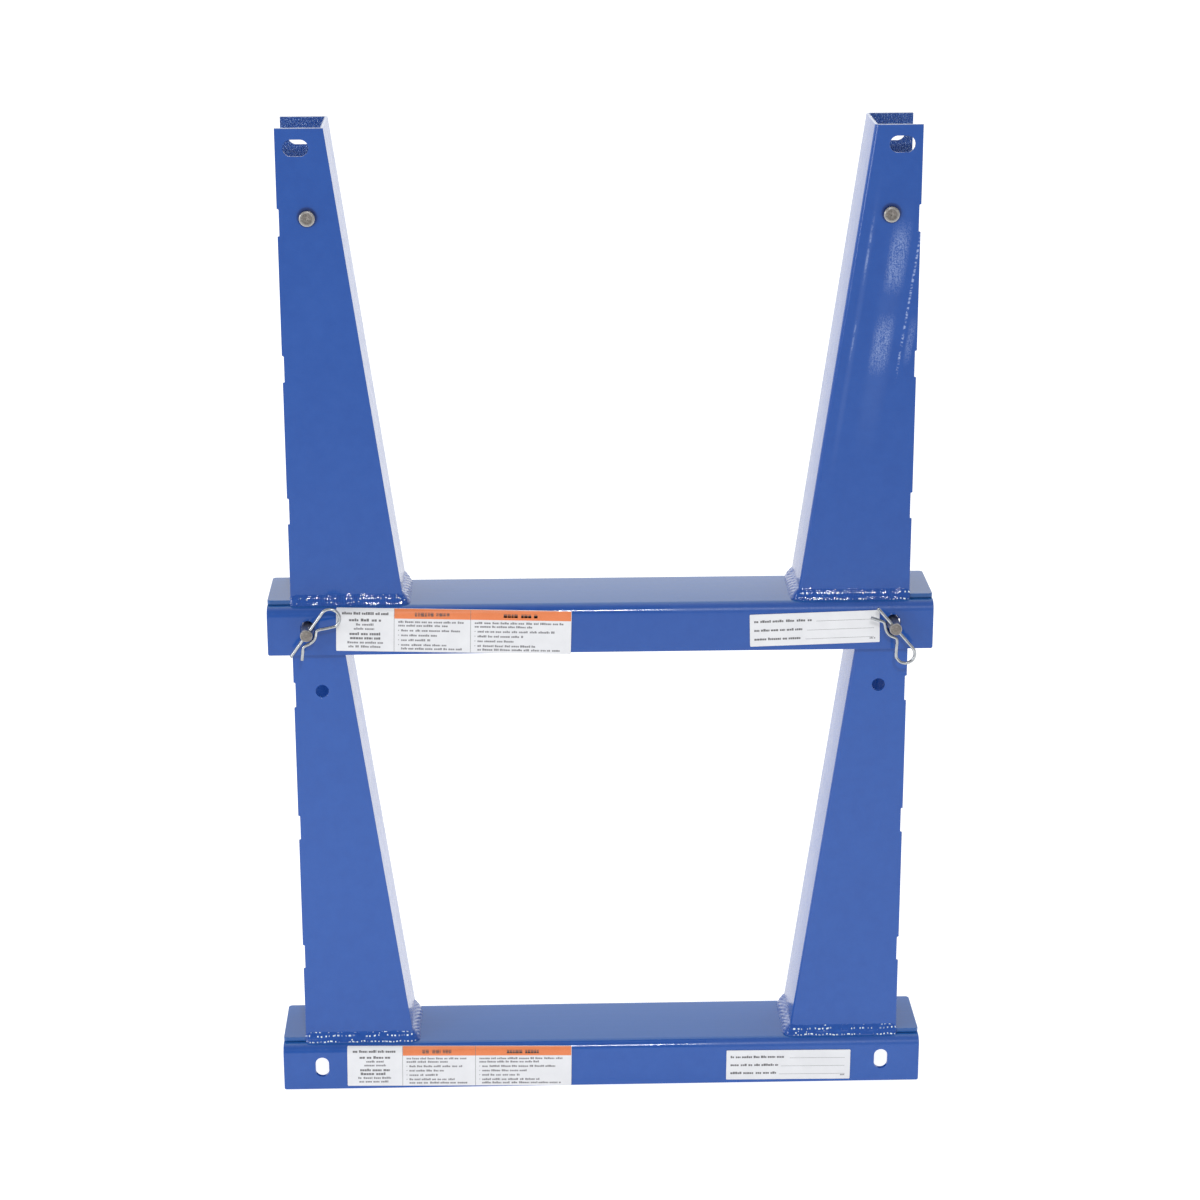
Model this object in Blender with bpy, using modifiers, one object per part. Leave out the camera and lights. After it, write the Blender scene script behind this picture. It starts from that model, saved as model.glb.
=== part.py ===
"""Stacking bar rack: two identical U-shaped units, one set on the other.

Each unit is an inverted-channel base with two tapered channel uprights that
stand on doubler plates.  The upper unit's base drops over the tops of the
lower unit's uprights and two clevis pins lock the joint.  Two more pins are
stowed in the upper unit.  Every pin is kept by a hairpin clip.

Frame: origin on the floor under the middle of the lower base, +X along the
base, -Y is the front (the labelled side), +Z up.  Metres.
"""
import math

import bmesh
import bpy
from mathutils import Matrix, Vector

IN = 0.0254
GAP = 0.0003                      # clearance kept between touching pieces

# ---- base: inverted channel, bent from 3/16 in plate ----
BASE_W = 27.0 * IN                # along X
BASE_D = 4.125 * IN               # front to back
BASE_H = 2.0 * IN
BASE_T = 0.1875 * IN
BASE_R = 0.40 * IN                # outer bend radius
BASE_CORNER_R = 0.08 * IN         # lower corners of the flange ends
BASE_SLOT_X = 1.63 * IN           # slot centre from the base end
BASE_SLOT_Z = 1.02 * IN
BASE_SLOT_W = 0.5625 * IN
BASE_SLOT_L = 0.875 * IN          # vertical, end to end

# ---- doubler plate under each upright ----
PLATE_T = 0.1875 * IN
PLATE_CORNER_R = 0.16 * IN
PLATE_INNER_X = 5.54 * IN         # inner end, from the base end

# ---- upright: tapered channel, bent from 11 gauge sheet ----
UP_TOP = 21.25 * IN               # top of the uprights above the unit's floor
UP_OUTER = 0.95 * IN              # flange edge, in from the base end
UP_W_BOTTOM = 4.55 * IN
UP_W_TOP = 1.885 * IN
UP_D = 3.2 * IN
UP_T = 0.1196 * IN
UP_R = 0.20 * IN                  # outer bend radius
UP_SLOT_DROP = 0.77 * IN          # lock slot, below the top
UP_SLOT_X = 0.80 * IN             # from the flange edge
UP_SLOT_W = 1.0 * IN              # horizontal, end to end
UP_SLOT_H = 0.65 * IN
STOW_DROP = 3.50 * IN             # stow hole, below the top
STOW_X = 1.165 * IN
STOW_D = 17.0 / 32.0 * IN
NOTCH_DROPS = (3.13 * IN, 8.96 * IN, 14.79 * IN)
NOTCH_H = 1.08 * IN
NOTCH_DEPTH = 0.072 * IN

# ---- pins and hairpin clips ----
PIN_D = 0.5 * IN
PIN_L = 5.0 * IN                  # under the head
PIN_END_CHAMFER = 0.035 * IN
HEAD_D = 0.645 * IN
HEAD_T = 0.16 * IN
HEAD_CHAMFER = 0.045 * IN
HEAD_DIMPLE_R = 0.07 * IN
HEAD_DIMPLE_DEEP = 0.03 * IN
PIN_HOLE_D = 0.17 * IN
PIN_HOLE_FROM_END = 0.20 * IN
LOCK_PIN_Z = 1.09 * IN            # pin axis above the upper unit's floor
WIRE_D = 0.125 * IN
CLIP_FREE = 1.14 * IN             # straight leg past the pin
LOOP_U = 1.12 * IN                # loop centre, along the leg from the pin axis
LOOP_R = 0.385 * IN

# ---- welds ----
WELD_LEG = 0.29 * IN              # reach out from the web's foot
FLANGE_WELD_LEG = 0.165 * IN      # reach out from the flanges
WELD_RISE = 0.30 * IN             # reach above the plate's top
WELD_BULGE = 0.05 * IN

# ---- labels ----
LABEL_T = 0.00025
LONG_LABEL = (9.5 * IN, 1.74 * IN)
RATING_LABEL = (5.28 * IN, 1.31 * IN)

HALF_W = BASE_W / 2
HALF_D = BASE_D / 2
UNDERSIDE = BASE_H - BASE_T
FOOT_Z = BASE_H + GAP + PLATE_T + GAP          # bottom of the uprights
PITCH = UP_TOP - UNDERSIDE + GAP               # floor of the upper unit
WEB_SLOPE = (UP_W_BOTTOM - UP_W_TOP) / (UP_TOP - FOOT_Z)

for ob in list(bpy.data.objects):
    bpy.data.objects.remove(ob, do_unlink=True)

scene = bpy.context.scene
PARTS = bpy.data.collections.new("stacking_bar_rack")
CUTTERS = bpy.data.collections.new("cutters")
scene.collection.children.link(PARTS)
scene.collection.children.link(CUTTERS)


# ------------------------------------------------------------ helpers
def material(name, rgb, rough, metal):
    m = bpy.data.materials.new(name)
    m.use_nodes = True
    b = m.node_tree.nodes["Principled BSDF"]
    b.inputs["Base Color"].default_value = (*rgb, 1.0)
    b.inputs["Roughness"].default_value = rough
    b.inputs["Metallic"].default_value = metal
    return m


BLUE = (0.055, 0.145, 0.460)
ZINC = (0.36, 0.33, 0.30)
BRIGHT = (0.62, 0.62, 0.60)
PAPER = (0.86, 0.86, 0.87)


def add_object(name, mesh, location=(0, 0, 0), parent=None, finish=None, smooth=False):
    ob = bpy.data.objects.new(name, mesh)
    PARTS.objects.link(ob)
    ob.location = location
    if parent is not None:
        ob.parent = parent
    if finish is not None:
        mesh.materials.clear()
        mesh.materials.append(material(name, *finish))
    if smooth:
        mesh.shade_smooth()
        mesh.set_sharp_from_angle(angle=math.radians(35))
    return ob


def add_empty(name, location=(0, 0, 0), parent=None):
    ob = bpy.data.objects.new(name, None)
    PARTS.objects.link(ob)
    ob.location = location
    ob.parent = parent
    return ob


def finish_mesh(bm, name):
    bmesh.ops.recalc_face_normals(bm, faces=bm.faces[:])
    me = bpy.data.meshes.new(name)
    bm.to_mesh(me)
    bm.free()
    return me


def cut(ob, mesh, parent=None, location=(0, 0, 0)):
    cutter = bpy.data.objects.new("cut_" + mesh.name, mesh)
    CUTTERS.objects.link(cutter)
    cutter.location = location
    cutter.parent = parent
    cutter.hide_render = True
    cutter.display_type = 'WIRE'
    mod = ob.modifiers.new("cut_" + mesh.name, 'BOOLEAN')
    mod.operation = 'DIFFERENCE'
    mod.solver = 'EXACT'
    mod.object = cutter


def box_into(bm, x0, x1, y0, y1, z0, z1):
    size = Matrix.Diagonal((abs(x1 - x0), y1 - y0, z1 - z0, 1.0))
    place = Matrix.Translation(((x0 + x1) / 2, (y0 + y1) / 2, (z0 + z1) / 2))
    return bmesh.ops.create_cube(bm, size=1.0, matrix=place @ size)["verts"]


def edges_where(bm, test):
    return [e for e in bm.edges if test(e.verts[0].co, e.verts[1].co)]


def round_edges(bm, edges, radius, segments):
    bmesh.ops.bevel(bm, geom=edges, offset=radius, segments=segments,
                    profile=0.5, affect='EDGES', clamp_overlap=True)


def obround_into(bm, centre, half_straight, radius, depth, along_x, segments=24):
    """A round-ended bar along Y: a cylinder whose halves are drawn apart.

    The cylinder is turned by half a segment, so no vertex sits on the line
    where the halves part and its flats lie at the true half width.
    """
    half_step = math.pi / segments
    turn = Matrix.Rotation(math.pi / 2, 4, 'X') @ Matrix.Rotation(half_step, 4, 'Z')
    r = radius / math.cos(half_step)
    got = bmesh.ops.create_cone(bm, cap_ends=True, segments=segments, radius1=r,
                                radius2=r, depth=depth,
                                matrix=Matrix.Translation(centre) @ turn)
    if half_straight > 0:
        for v in got["verts"]:
            off = v.co - Vector(centre)
            a = off.x if along_x else off.z
            v.co[0 if along_x else 2] += math.copysign(half_straight, a)


# ------------------------------------------------------------ base
def base_mesh(name):
    bm = bmesh.new()
    box_into(bm, -HALF_W, HALF_W, -HALF_D, HALF_D, 0.0, BASE_H)
    ends = edges_where(bm, lambda a, b: abs(a.z) < 1e-6 and abs(b.z) < 1e-6
                       and abs(a.x - b.x) < 1e-6)
    round_edges(bm, ends, BASE_CORNER_R, 3)
    bends = edges_where(bm, lambda a, b: abs(a.z - BASE_H) < 1e-6 and abs(b.z - BASE_H) < 1e-6
                        and abs(a.y - b.y) < 1e-6)
    round_edges(bm, bends, BASE_R, 8)
    return finish_mesh(bm, name)


def base_hollow(name):
    bm = bmesh.new()
    y = HALF_D - BASE_T
    box_into(bm, -HALF_W - 0.02, HALF_W + 0.02, -y, y, -0.02, UNDERSIDE)
    bends = edges_where(bm, lambda a, b: abs(a.z - UNDERSIDE) < 1e-6
                        and abs(b.z - UNDERSIDE) < 1e-6 and abs(a.y - b.y) < 1e-6)
    round_edges(bm, bends, BASE_R - BASE_T, 6)
    return finish_mesh(bm, name)


def base_slots(name):
    bm = bmesh.new()
    r = BASE_SLOT_W / 2
    for s in (-1, 1):
        obround_into(bm, (s * (HALF_W - BASE_SLOT_X), 0, BASE_SLOT_Z),
                     BASE_SLOT_L / 2 - r, r, BASE_D + 0.04, along_x=False)
    return finish_mesh(bm, name)


def base_top_z(y):
    """Height of the base's outer surface over a point y."""
    over = abs(y) - (HALF_D - BASE_R)
    if over <= 0:
        return BASE_H
    over = min(over, BASE_R)
    return BASE_H - BASE_R + math.sqrt(max(BASE_R ** 2 - over ** 2, 0.0))


# ------------------------------------------------------------ upright
def web_x(z, inset=0.0):
    """Distance from the middle plane to the web's inner-facing surface."""
    return HALF_W - UP_OUTER - UP_W_BOTTOM + WEB_SLOPE * (z - FOOT_Z) + inset


def tapered_block(name, side, x_out, half_y, z0, z1, inset, radius, segments):
    bm = bmesh.new()
    box_into(bm, 0.0, 1.0, -half_y, half_y, z0, z1)
    for v in bm.verts:
        inner = v.co.x < 0.5
        v.co.x = side * (web_x(v.co.z, inset) if inner else x_out)
    if radius > 0:
        edge = edges_where(bm, lambda a, b: abs(a.y - b.y) < 1e-6 and abs(a.z - b.z) > 1e-3
                           and abs(abs(a.x) - web_x(a.z, inset)) < 1e-5
                           and abs(abs(b.x) - web_x(b.z, inset)) < 1e-5)
        round_edges(bm, edge, radius, segments)
    return finish_mesh(bm, name)


def upright(name, side, parent):
    x_out = HALF_W - UP_OUTER
    body = tapered_block(name, side, x_out, UP_D / 2, FOOT_Z, UP_TOP, 0.0, UP_R, 5)
    ob = add_object(name, body, parent=parent, finish=(BLUE, 0.34, 0.0), smooth=True)
    across = UP_T * math.sqrt(1 + WEB_SLOPE ** 2)
    hollow = tapered_block(name + "_hollow", side, x_out + 0.03, UP_D / 2 - UP_T,
                           FOOT_Z - 0.01, UP_TOP + 0.01, across, UP_R - UP_T, 3)
    cut(ob, hollow, parent)
    bm = bmesh.new()
    for drop in NOTCH_DROPS:
        top = UP_TOP - drop
        a, b = side * (x_out - NOTCH_DEPTH), side * (x_out + 0.02)
        box_into(bm, min(a, b), max(a, b), -UP_D, UP_D, top - NOTCH_H, top)
    cut(ob, finish_mesh(bm, name + "_notches"), parent)
    bm = bmesh.new()
    r = UP_SLOT_H / 2
    obround_into(bm, (side * (x_out - UP_SLOT_X), 0, UP_TOP - UP_SLOT_DROP),
                 UP_SLOT_W / 2 - r, r, UP_D + 0.04, along_x=True)
    obround_into(bm, (side * (x_out - STOW_X), 0, UP_TOP - STOW_DROP),
                 0.0, STOW_D / 2, UP_D + 0.04, along_x=True)
    cut(ob, finish_mesh(bm, name + "_holes"), parent)
    return ob


def foot_plate(name, side, parent):
    bm = bmesh.new()
    a, b = side * (HALF_W - PLATE_INNER_X), side * HALF_W
    z0 = BASE_H + GAP
    box_into(bm, min(a, b), max(a, b), -UP_D / 2, UP_D / 2, z0, z0 + PLATE_T)
    ends = edges_where(bm, lambda p, q: abs(p.z - q.z) > 1e-4 and abs(abs(p.x) - HALF_W) < 1e-6)
    round_edges(bm, ends, PLATE_CORNER_R, 4)
    return add_object(name, finish_mesh(bm, name), parent=parent, finish=(BLUE, 0.34, 0.0),
                      smooth=True)


# ------------------------------------------------------------ welds
def weld_ring(origin, normal, back_top, leg, rise, swell):
    """One section of a fillet bead.

    origin is on the upright's foot line, normal points away from the upright,
    back_top is how far the wall leans back over the bead's rise.
    """
    top_z = FOOT_Z + rise
    ring = []
    g = GAP

    def put(off, z):
        p = origin + normal * off
        ring.append(Vector((p.x, p.y, z)))

    def floor(off):
        p = origin + normal * off
        return base_top_z(p.y) + g

    put(g * 1.5, floor(g * 1.5))
    put(g * 1.5, FOOT_Z)
    put(g * 1.5 + back_top, top_z)
    for k in (0.25, 0.5, 0.75):
        off = g * 1.5 + back_top * (1 - k) + (leg - g * 1.5) * k
        z = top_z + (floor(leg) - top_z) * k
        bulge = swell * math.sin(math.pi * k)
        put(off + bulge, z + bulge)
    put(leg, floor(leg))
    put(leg * 0.5, floor(leg * 0.5))
    return ring


def loft(name, rings):
    bm = bmesh.new()
    rows = [[bm.verts.new(p) for p in ring] for ring in rings]
    n = len(rows[0])
    for a, b in zip(rows, rows[1:]):
        for i in range(n):
            j = (i + 1) % n
            bm.faces.new((a[i], a[j], b[j], b[i]))
    bm.faces.new(rows[0][::-1])
    bm.faces.new(rows[-1])
    bmesh.ops.triangulate(bm, faces=[f for f in bm.faces if len(f.verts) > 4])
    return finish_mesh(bm, name)


def side_weld(name, side, face, parent):
    """Bead along the front (face -1) or back (face +1) flange."""
    rings = []
    x_in = HALF_W - UP_OUTER - UP_W_BOTTOM + UP_R * 0.5
    x_out = HALF_W - UP_OUTER
    n = 10
    for i in range(n + 1):
        x = x_in + (x_out - x_in) * i / n
        taper = 1.0 - 0.35 * max(0.0, (i - (n - 1.5)) / 1.5)
        rings.append(weld_ring(Vector((side * x, face * UP_D / 2, 0)), Vector((0, face, 0)),
                               0.0, FLANGE_WELD_LEG * taper, WELD_RISE * taper,
                               WELD_BULGE * 0.5))
    return add_object(name, loft(name, rings), parent=parent, finish=(BLUE, 0.36, 0.0))


def inner_weld(name, side, parent):
    """Bead across the web's foot, over the doubler plate's inner end."""
    rings = []
    n = 8
    foot = Vector((-side, 0, 0))
    half = UP_D / 2 - UP_R * 0.2
    x_face = side * (HALF_W - PLATE_INNER_X)
    for i in range(n + 1):
        y = -half + 2 * half * i / n
        lean = (HALF_W - UP_OUTER - UP_W_BOTTOM) - (HALF_W - PLATE_INNER_X)
        rings.append(weld_ring(Vector((x_face, y, 0)), foot,
                               -(WEB_SLOPE * WELD_RISE + lean), WELD_LEG, WELD_RISE,
                               WELD_BULGE))
    return add_object(name, loft(name, rings), parent=parent, finish=(BLUE, 0.36, 0.0))


# ------------------------------------------------------------ pins and clips
def pin(name, location, head_to, hole_angle, parent):
    """Clevis pin: head_to is +1 when the head is at the back, -1 at the front."""
    head_r, r = HEAD_D / 2, PIN_D / 2
    top = HEAD_T
    profile = [(0.0, top - HEAD_DIMPLE_DEEP),
               (HEAD_DIMPLE_R, top),
               (head_r - HEAD_CHAMFER, top),
               (head_r, top - HEAD_CHAMFER),
               (head_r, 0.0),
               (r, 0.0),
               (r, -PIN_L + PIN_END_CHAMFER),
               (r - PIN_END_CHAMFER, -PIN_L),
               (0.0, -PIN_L)]
    bm = bmesh.new()
    verts = [bm.verts.new((x, 0, z)) for x, z in profile]
    for a, b in zip(verts, verts[1:]):
        bm.edges.new((a, b))
    me = bpy.data.meshes.new(name)
    bm.to_mesh(me)
    bm.free()
    ob = add_object(name, me, location=location, parent=parent, finish=(ZINC, 0.38, 0.9))
    # local +Z is the head end; lay it along +Y or -Y
    lay = Matrix.Rotation(-math.pi / 2 * head_to, 4, 'X')
    ob.rotation_euler = lay.to_euler()
    screw = ob.modifiers.new("turned", 'SCREW')
    screw.axis = 'Z'
    screw.angle = 2 * math.pi
    screw.steps = 28
    screw.render_steps = 28
    screw.use_merge_vertices = True
    screw.merge_threshold = 0.00001
    screw.use_smooth_shade = False
    bm = bmesh.new()
    along = Vector((math.cos(hole_angle), 0, math.sin(hole_angle)))
    turn = Vector((0, 0, 1)).rotation_difference(along).to_matrix().to_4x4()
    # the hole's centre, in the frame where the pin's own axis is Y
    y = -head_to * (PIN_L - PIN_HOLE_FROM_END)
    bmesh.ops.create_cone(bm, cap_ends=True, segments=16, radius1=PIN_HOLE_D / 2,
                          radius2=PIN_HOLE_D / 2, depth=PIN_D * 2,
                          matrix=Matrix.Translation((0, y, 0)) @ turn)
    cut(ob, finish_mesh(bm, name + "_hole"), parent, location)
    return ob


def clip_path():
    """Centreline of the hairpin clip in its own plane.

    u runs along the straight leg towards the loop, v towards the sprung leg,
    and the pin's axis crosses the plane at the origin.
    """
    pts = [(-CLIP_FREE, 0.0), (-CLIP_FREE * 0.5, 0.0), (0.0, 0.0), (LOOP_U * 0.5, 0.0),
           (LOOP_U * 0.85, 0.0)]
    n = 11
    start, stop = math.radians(-90), math.radians(118)
    for i in range(n + 1):
        a = start + (stop - start) * i / n
        pts.append((LOOP_U + LOOP_R * math.cos(a), LOOP_R + LOOP_R * math.sin(a)))
    # sprung leg: in to the waist, out round the pin, in again and flared
    hug = PIN_D / 2 + WIRE_D / 2 + 0.055 * IN
    waist, tail = 0.235 * IN, 0.200 * IN
    keys = [(0.66 * IN, 0.475 * IN), (0.50 * IN, 0.320 * IN), (0.38 * IN, waist + 0.012 * IN),
            (0.29 * IN, waist + 0.030 * IN), (0.17 * IN, hug * 0.89), (0.03 * IN, hug),
            (-0.11 * IN, hug * 0.97), (-0.25 * IN, hug * 0.84), (-0.38 * IN, tail + 0.035 * IN),
            (-0.48 * IN, tail - 0.004 * IN), (-0.57 * IN, tail + 0.010 * IN),
            (-0.68 * IN, tail + 0.075 * IN), (-0.84 * IN, tail + 0.165 * IN),
            (-1.00 * IN, tail + 0.255 * IN)]
    return pts + keys


def clip(name, location, angle, side, parent):
    """Hairpin clip in a plane of constant Y.  angle turns the straight leg
    from +X towards +Z; side +1 puts the sprung leg clockwise of it."""
    curve = bpy.data.curves.new(name, 'CURVE')
    curve.dimensions = '3D'
    spline = curve.splines.new('POLY')
    u = Vector((math.cos(angle), 0, math.sin(angle)))
    v = Vector((math.sin(angle), 0, -math.cos(angle))) * side
    pts = [u * a + v * b for a, b in clip_path()]
    spline.points.add(len(pts) - 1)
    for p, co in zip(spline.points, pts):
        p.co = (*co, 1.0)
    curve.bevel_depth = WIRE_D / 2
    curve.bevel_resolution = 2
    curve.use_fill_caps = True
    curve.materials.append(material(name, BRIGHT, 0.22, 1.0))
    ob = bpy.data.objects.new(name, curve)
    PARTS.objects.link(ob)
    ob.location = location
    ob.parent = parent
    return ob


# ------------------------------------------------------------ labels
def label(name, x0, t0, size, tilt, parent):
    """A thin skin laid on the base's front flange and round its bend.

    x0 and t0 place the lower left corner, t being the distance up the outer
    surface; tilt turns the label in its own surface.
    """
    w, h = size
    flat = BASE_H - BASE_R
    off = GAP * 1.2

    def on_surface(s, t):
        if t <= flat:
            return Vector((s, -HALF_D - off, t))
        a = (t - flat) / BASE_R
        r = BASE_R + off
        return Vector((s, -HALF_D + BASE_R - r * math.cos(a), flat + r * math.sin(a)))

    c, sn = math.cos(tilt), math.sin(tilt)
    bm = bmesh.new()
    cols, rows = 8, 18
    grid = []
    for j in range(rows + 1):
        row = []
        for i in range(cols + 1):
            a, b = w * i / cols, h * j / rows
            row.append(bm.verts.new(on_surface(x0 + a * c - b * sn, t0 + a * sn + b * c)))
        grid.append(row)
    for j in range(rows):
        for i in range(cols):
            bm.faces.new((grid[j][i], grid[j][i + 1], grid[j + 1][i + 1], grid[j + 1][i]))
    me = bpy.data.meshes.new(name)
    bm.to_mesh(me)
    bm.free()
    ob = add_object(name, me, parent=parent, finish=(PAPER, 0.42, 0.0))
    solid = ob.modifiers.new("paper", 'SOLIDIFY')
    solid.thickness = LABEL_T
    solid.offset = 1.0
    return ob


# ------------------------------------------------------------ one unit
def unit(prefix, floor_z):
    frame = add_empty(prefix + "_unit", (0, 0, floor_z))
    base = add_object(prefix + "_base", base_mesh(prefix + "_base"), parent=frame,
                      finish=(BLUE, 0.34, 0.0), smooth=True)
    cut(base, base_hollow(prefix + "_base_hollow"), frame)
    cut(base, base_slots(prefix + "_base_slots"), frame)
    for word, side in (("left", -1), ("right", 1)):
        foot_plate(f"{prefix}_foot_plate_{word}", side, frame)
        upright(f"{prefix}_upright_{word}", side, frame)
        side_weld(f"{prefix}_weld_{word}_front", side, -1, frame)
        side_weld(f"{prefix}_weld_{word}_back", side, 1, frame)
        inner_weld(f"{prefix}_weld_{word}_inner", side, frame)
    return frame


lower = unit("lower", 0.0)
upper = unit("upper", PITCH)

# long load label on the left, rating label on the right of each base front
label("lower_load_label", -HALF_W + 2.68 * IN, 0.145 * IN, LONG_LABEL, math.radians(-0.8), lower)
label("upper_load_label", -HALF_W + 2.76 * IN, 0.285 * IN, LONG_LABEL, math.radians(-1.6), upper)
label("lower_rating_label", -HALF_W + 18.78 * IN, 0.145 * IN, RATING_LABEL, math.radians(0.3), lower)
label("upper_rating_label", -HALF_W + 19.55 * IN, 0.165 * IN, RATING_LABEL, math.radians(1.4), upper)

# lock pins: head at the back of the upper base, clip in front of it
LOCK_PIN_X = HALF_W - BASE_SLOT_X
CLIP_ANGLE = {"left": math.radians(54.6), "right": math.radians(-49.5)}
for word, side in (("left", -1), ("right", 1)):
    at = Vector((side * LOCK_PIN_X, HALF_D + GAP, PITCH + LOCK_PIN_Z))
    pin(f"lock_pin_{word}", at, 1, CLIP_ANGLE[word], None)
    clip_y = at.y - (PIN_L - PIN_HOLE_FROM_END)
    clip(f"lock_clip_{word}", (at.x, clip_y, at.z), CLIP_ANGLE[word], 1, None)

# stowed pins: head at the front of the upper uprights, clip behind them
for word, side in (("left", -1), ("right", 1)):
    at = Vector((side * (HALF_W - UP_OUTER - STOW_X), -UP_D / 2 - GAP, PITCH + UP_TOP - STOW_DROP))
    pin(f"stowed_pin_{word}", at, -1, math.radians(-90), None)
    clip_y = at.y + (PIN_L - PIN_HOLE_FROM_END)
    # leg hangs straight down, sprung leg on the web side
    clip(f"stowed_clip_{word}", (at.x, clip_y, at.z), math.radians(-90), side, None)

bpy.context.view_layer.update()
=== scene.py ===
import math
import random

import bmesh
import bpy
from mathutils import Matrix, Vector, noise


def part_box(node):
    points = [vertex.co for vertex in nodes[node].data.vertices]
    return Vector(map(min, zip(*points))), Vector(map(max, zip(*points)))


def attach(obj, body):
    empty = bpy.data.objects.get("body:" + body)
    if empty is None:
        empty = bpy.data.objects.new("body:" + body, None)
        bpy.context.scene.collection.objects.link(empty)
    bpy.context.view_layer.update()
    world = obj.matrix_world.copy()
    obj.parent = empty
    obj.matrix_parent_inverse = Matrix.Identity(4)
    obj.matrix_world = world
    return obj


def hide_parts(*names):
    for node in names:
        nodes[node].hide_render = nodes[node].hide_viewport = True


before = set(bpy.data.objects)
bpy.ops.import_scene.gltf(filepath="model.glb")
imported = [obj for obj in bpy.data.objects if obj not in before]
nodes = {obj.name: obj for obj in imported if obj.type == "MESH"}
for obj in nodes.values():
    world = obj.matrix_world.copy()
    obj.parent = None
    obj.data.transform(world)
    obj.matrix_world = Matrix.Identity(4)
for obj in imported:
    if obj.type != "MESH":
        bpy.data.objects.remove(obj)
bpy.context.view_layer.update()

IN = 0.0254
scene = bpy.context.scene

# ---------------------------------------------------------------- sizes
# the frame's own boxes give the places; the rest are the object's shop sizes
lo_b, hi_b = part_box("lower_base")
lo_u, hi_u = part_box("upper_base")
HALF_W = hi_b.x
HALF_D = hi_b.y
BASE_H = hi_b.z - lo_b.z
PITCH = lo_u.z - lo_b.z
BASE_T = 0.1875 * IN
BASE_R = 0.40 * IN
BASE_CORNER_R = 0.08 * IN
UNDERSIDE = BASE_H - BASE_T
BASE_SLOT_X = 1.63 * IN
BASE_SLOT_Z = 1.02 * IN
BASE_SLOT_W = 0.5625 * IN
BASE_SLOT_L = 0.875 * IN

up_lo, up_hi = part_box("lower_upright_right")
FOOT_Z = up_lo.z
UP_TOP = up_hi.z
UP_D = up_hi.y - up_lo.y
UP_OUT_X = up_hi.x
UP_W_BOTTOM = UP_OUT_X - up_lo.x
UP_W_TOP = 1.885 * IN
UP_T = 0.1196 * IN
UP_R = 0.20 * IN
UP_SLOT_DROP = 0.77 * IN
UP_SLOT_X = 0.80 * IN
UP_SLOT_W = 1.0 * IN
UP_SLOT_H = 0.65 * IN
STOW_DROP = 3.50 * IN
STOW_X = 1.165 * IN
STOW_D = 17.0 / 32.0 * IN
NOTCH_DROPS = (3.13 * IN, 8.96 * IN, 14.79 * IN)
NOTCH_H = 1.08 * IN
NOTCH_DEPTH = 0.072 * IN
WEB_SLOPE = (UP_W_BOTTOM - UP_W_TOP) / (UP_TOP - FOOT_Z)

pl_lo, pl_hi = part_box("lower_foot_plate_right")
PLATE_X0 = pl_lo.x
PLATE_TOP = pl_hi.z
PLATE_T = pl_hi.z - pl_lo.z
PLATE_CORNER_R = 0.16 * IN

WELD_LEG = 0.29 * IN
FLANGE_WELD_LEG = 0.165 * IN
WELD_RISE = 0.30 * IN
STRAND_PITCH = 0.0085
STRAND_LEAN = 3.4

PIN_D = 0.5 * IN
HEAD_T = 0.16 * IN
PIN_L = 5.0 * IN
HEAD_D = 0.645 * IN
PIN_HOLE_FROM_END = 0.20 * IN
PIN_HOLE_D = 0.17 * IN
WIRE_D = 0.125 * IN
CLIP_FREE = 1.14 * IN
LOOP_U = 1.12 * IN
LOOP_R = 0.385 * IN


def base_top_z(y):
    over = abs(y) - (HALF_D - BASE_R)
    if over <= 0:
        return BASE_H
    over = min(over, BASE_R)
    return BASE_H - BASE_R + math.sqrt(max(BASE_R ** 2 - over ** 2, 0.0))


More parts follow.
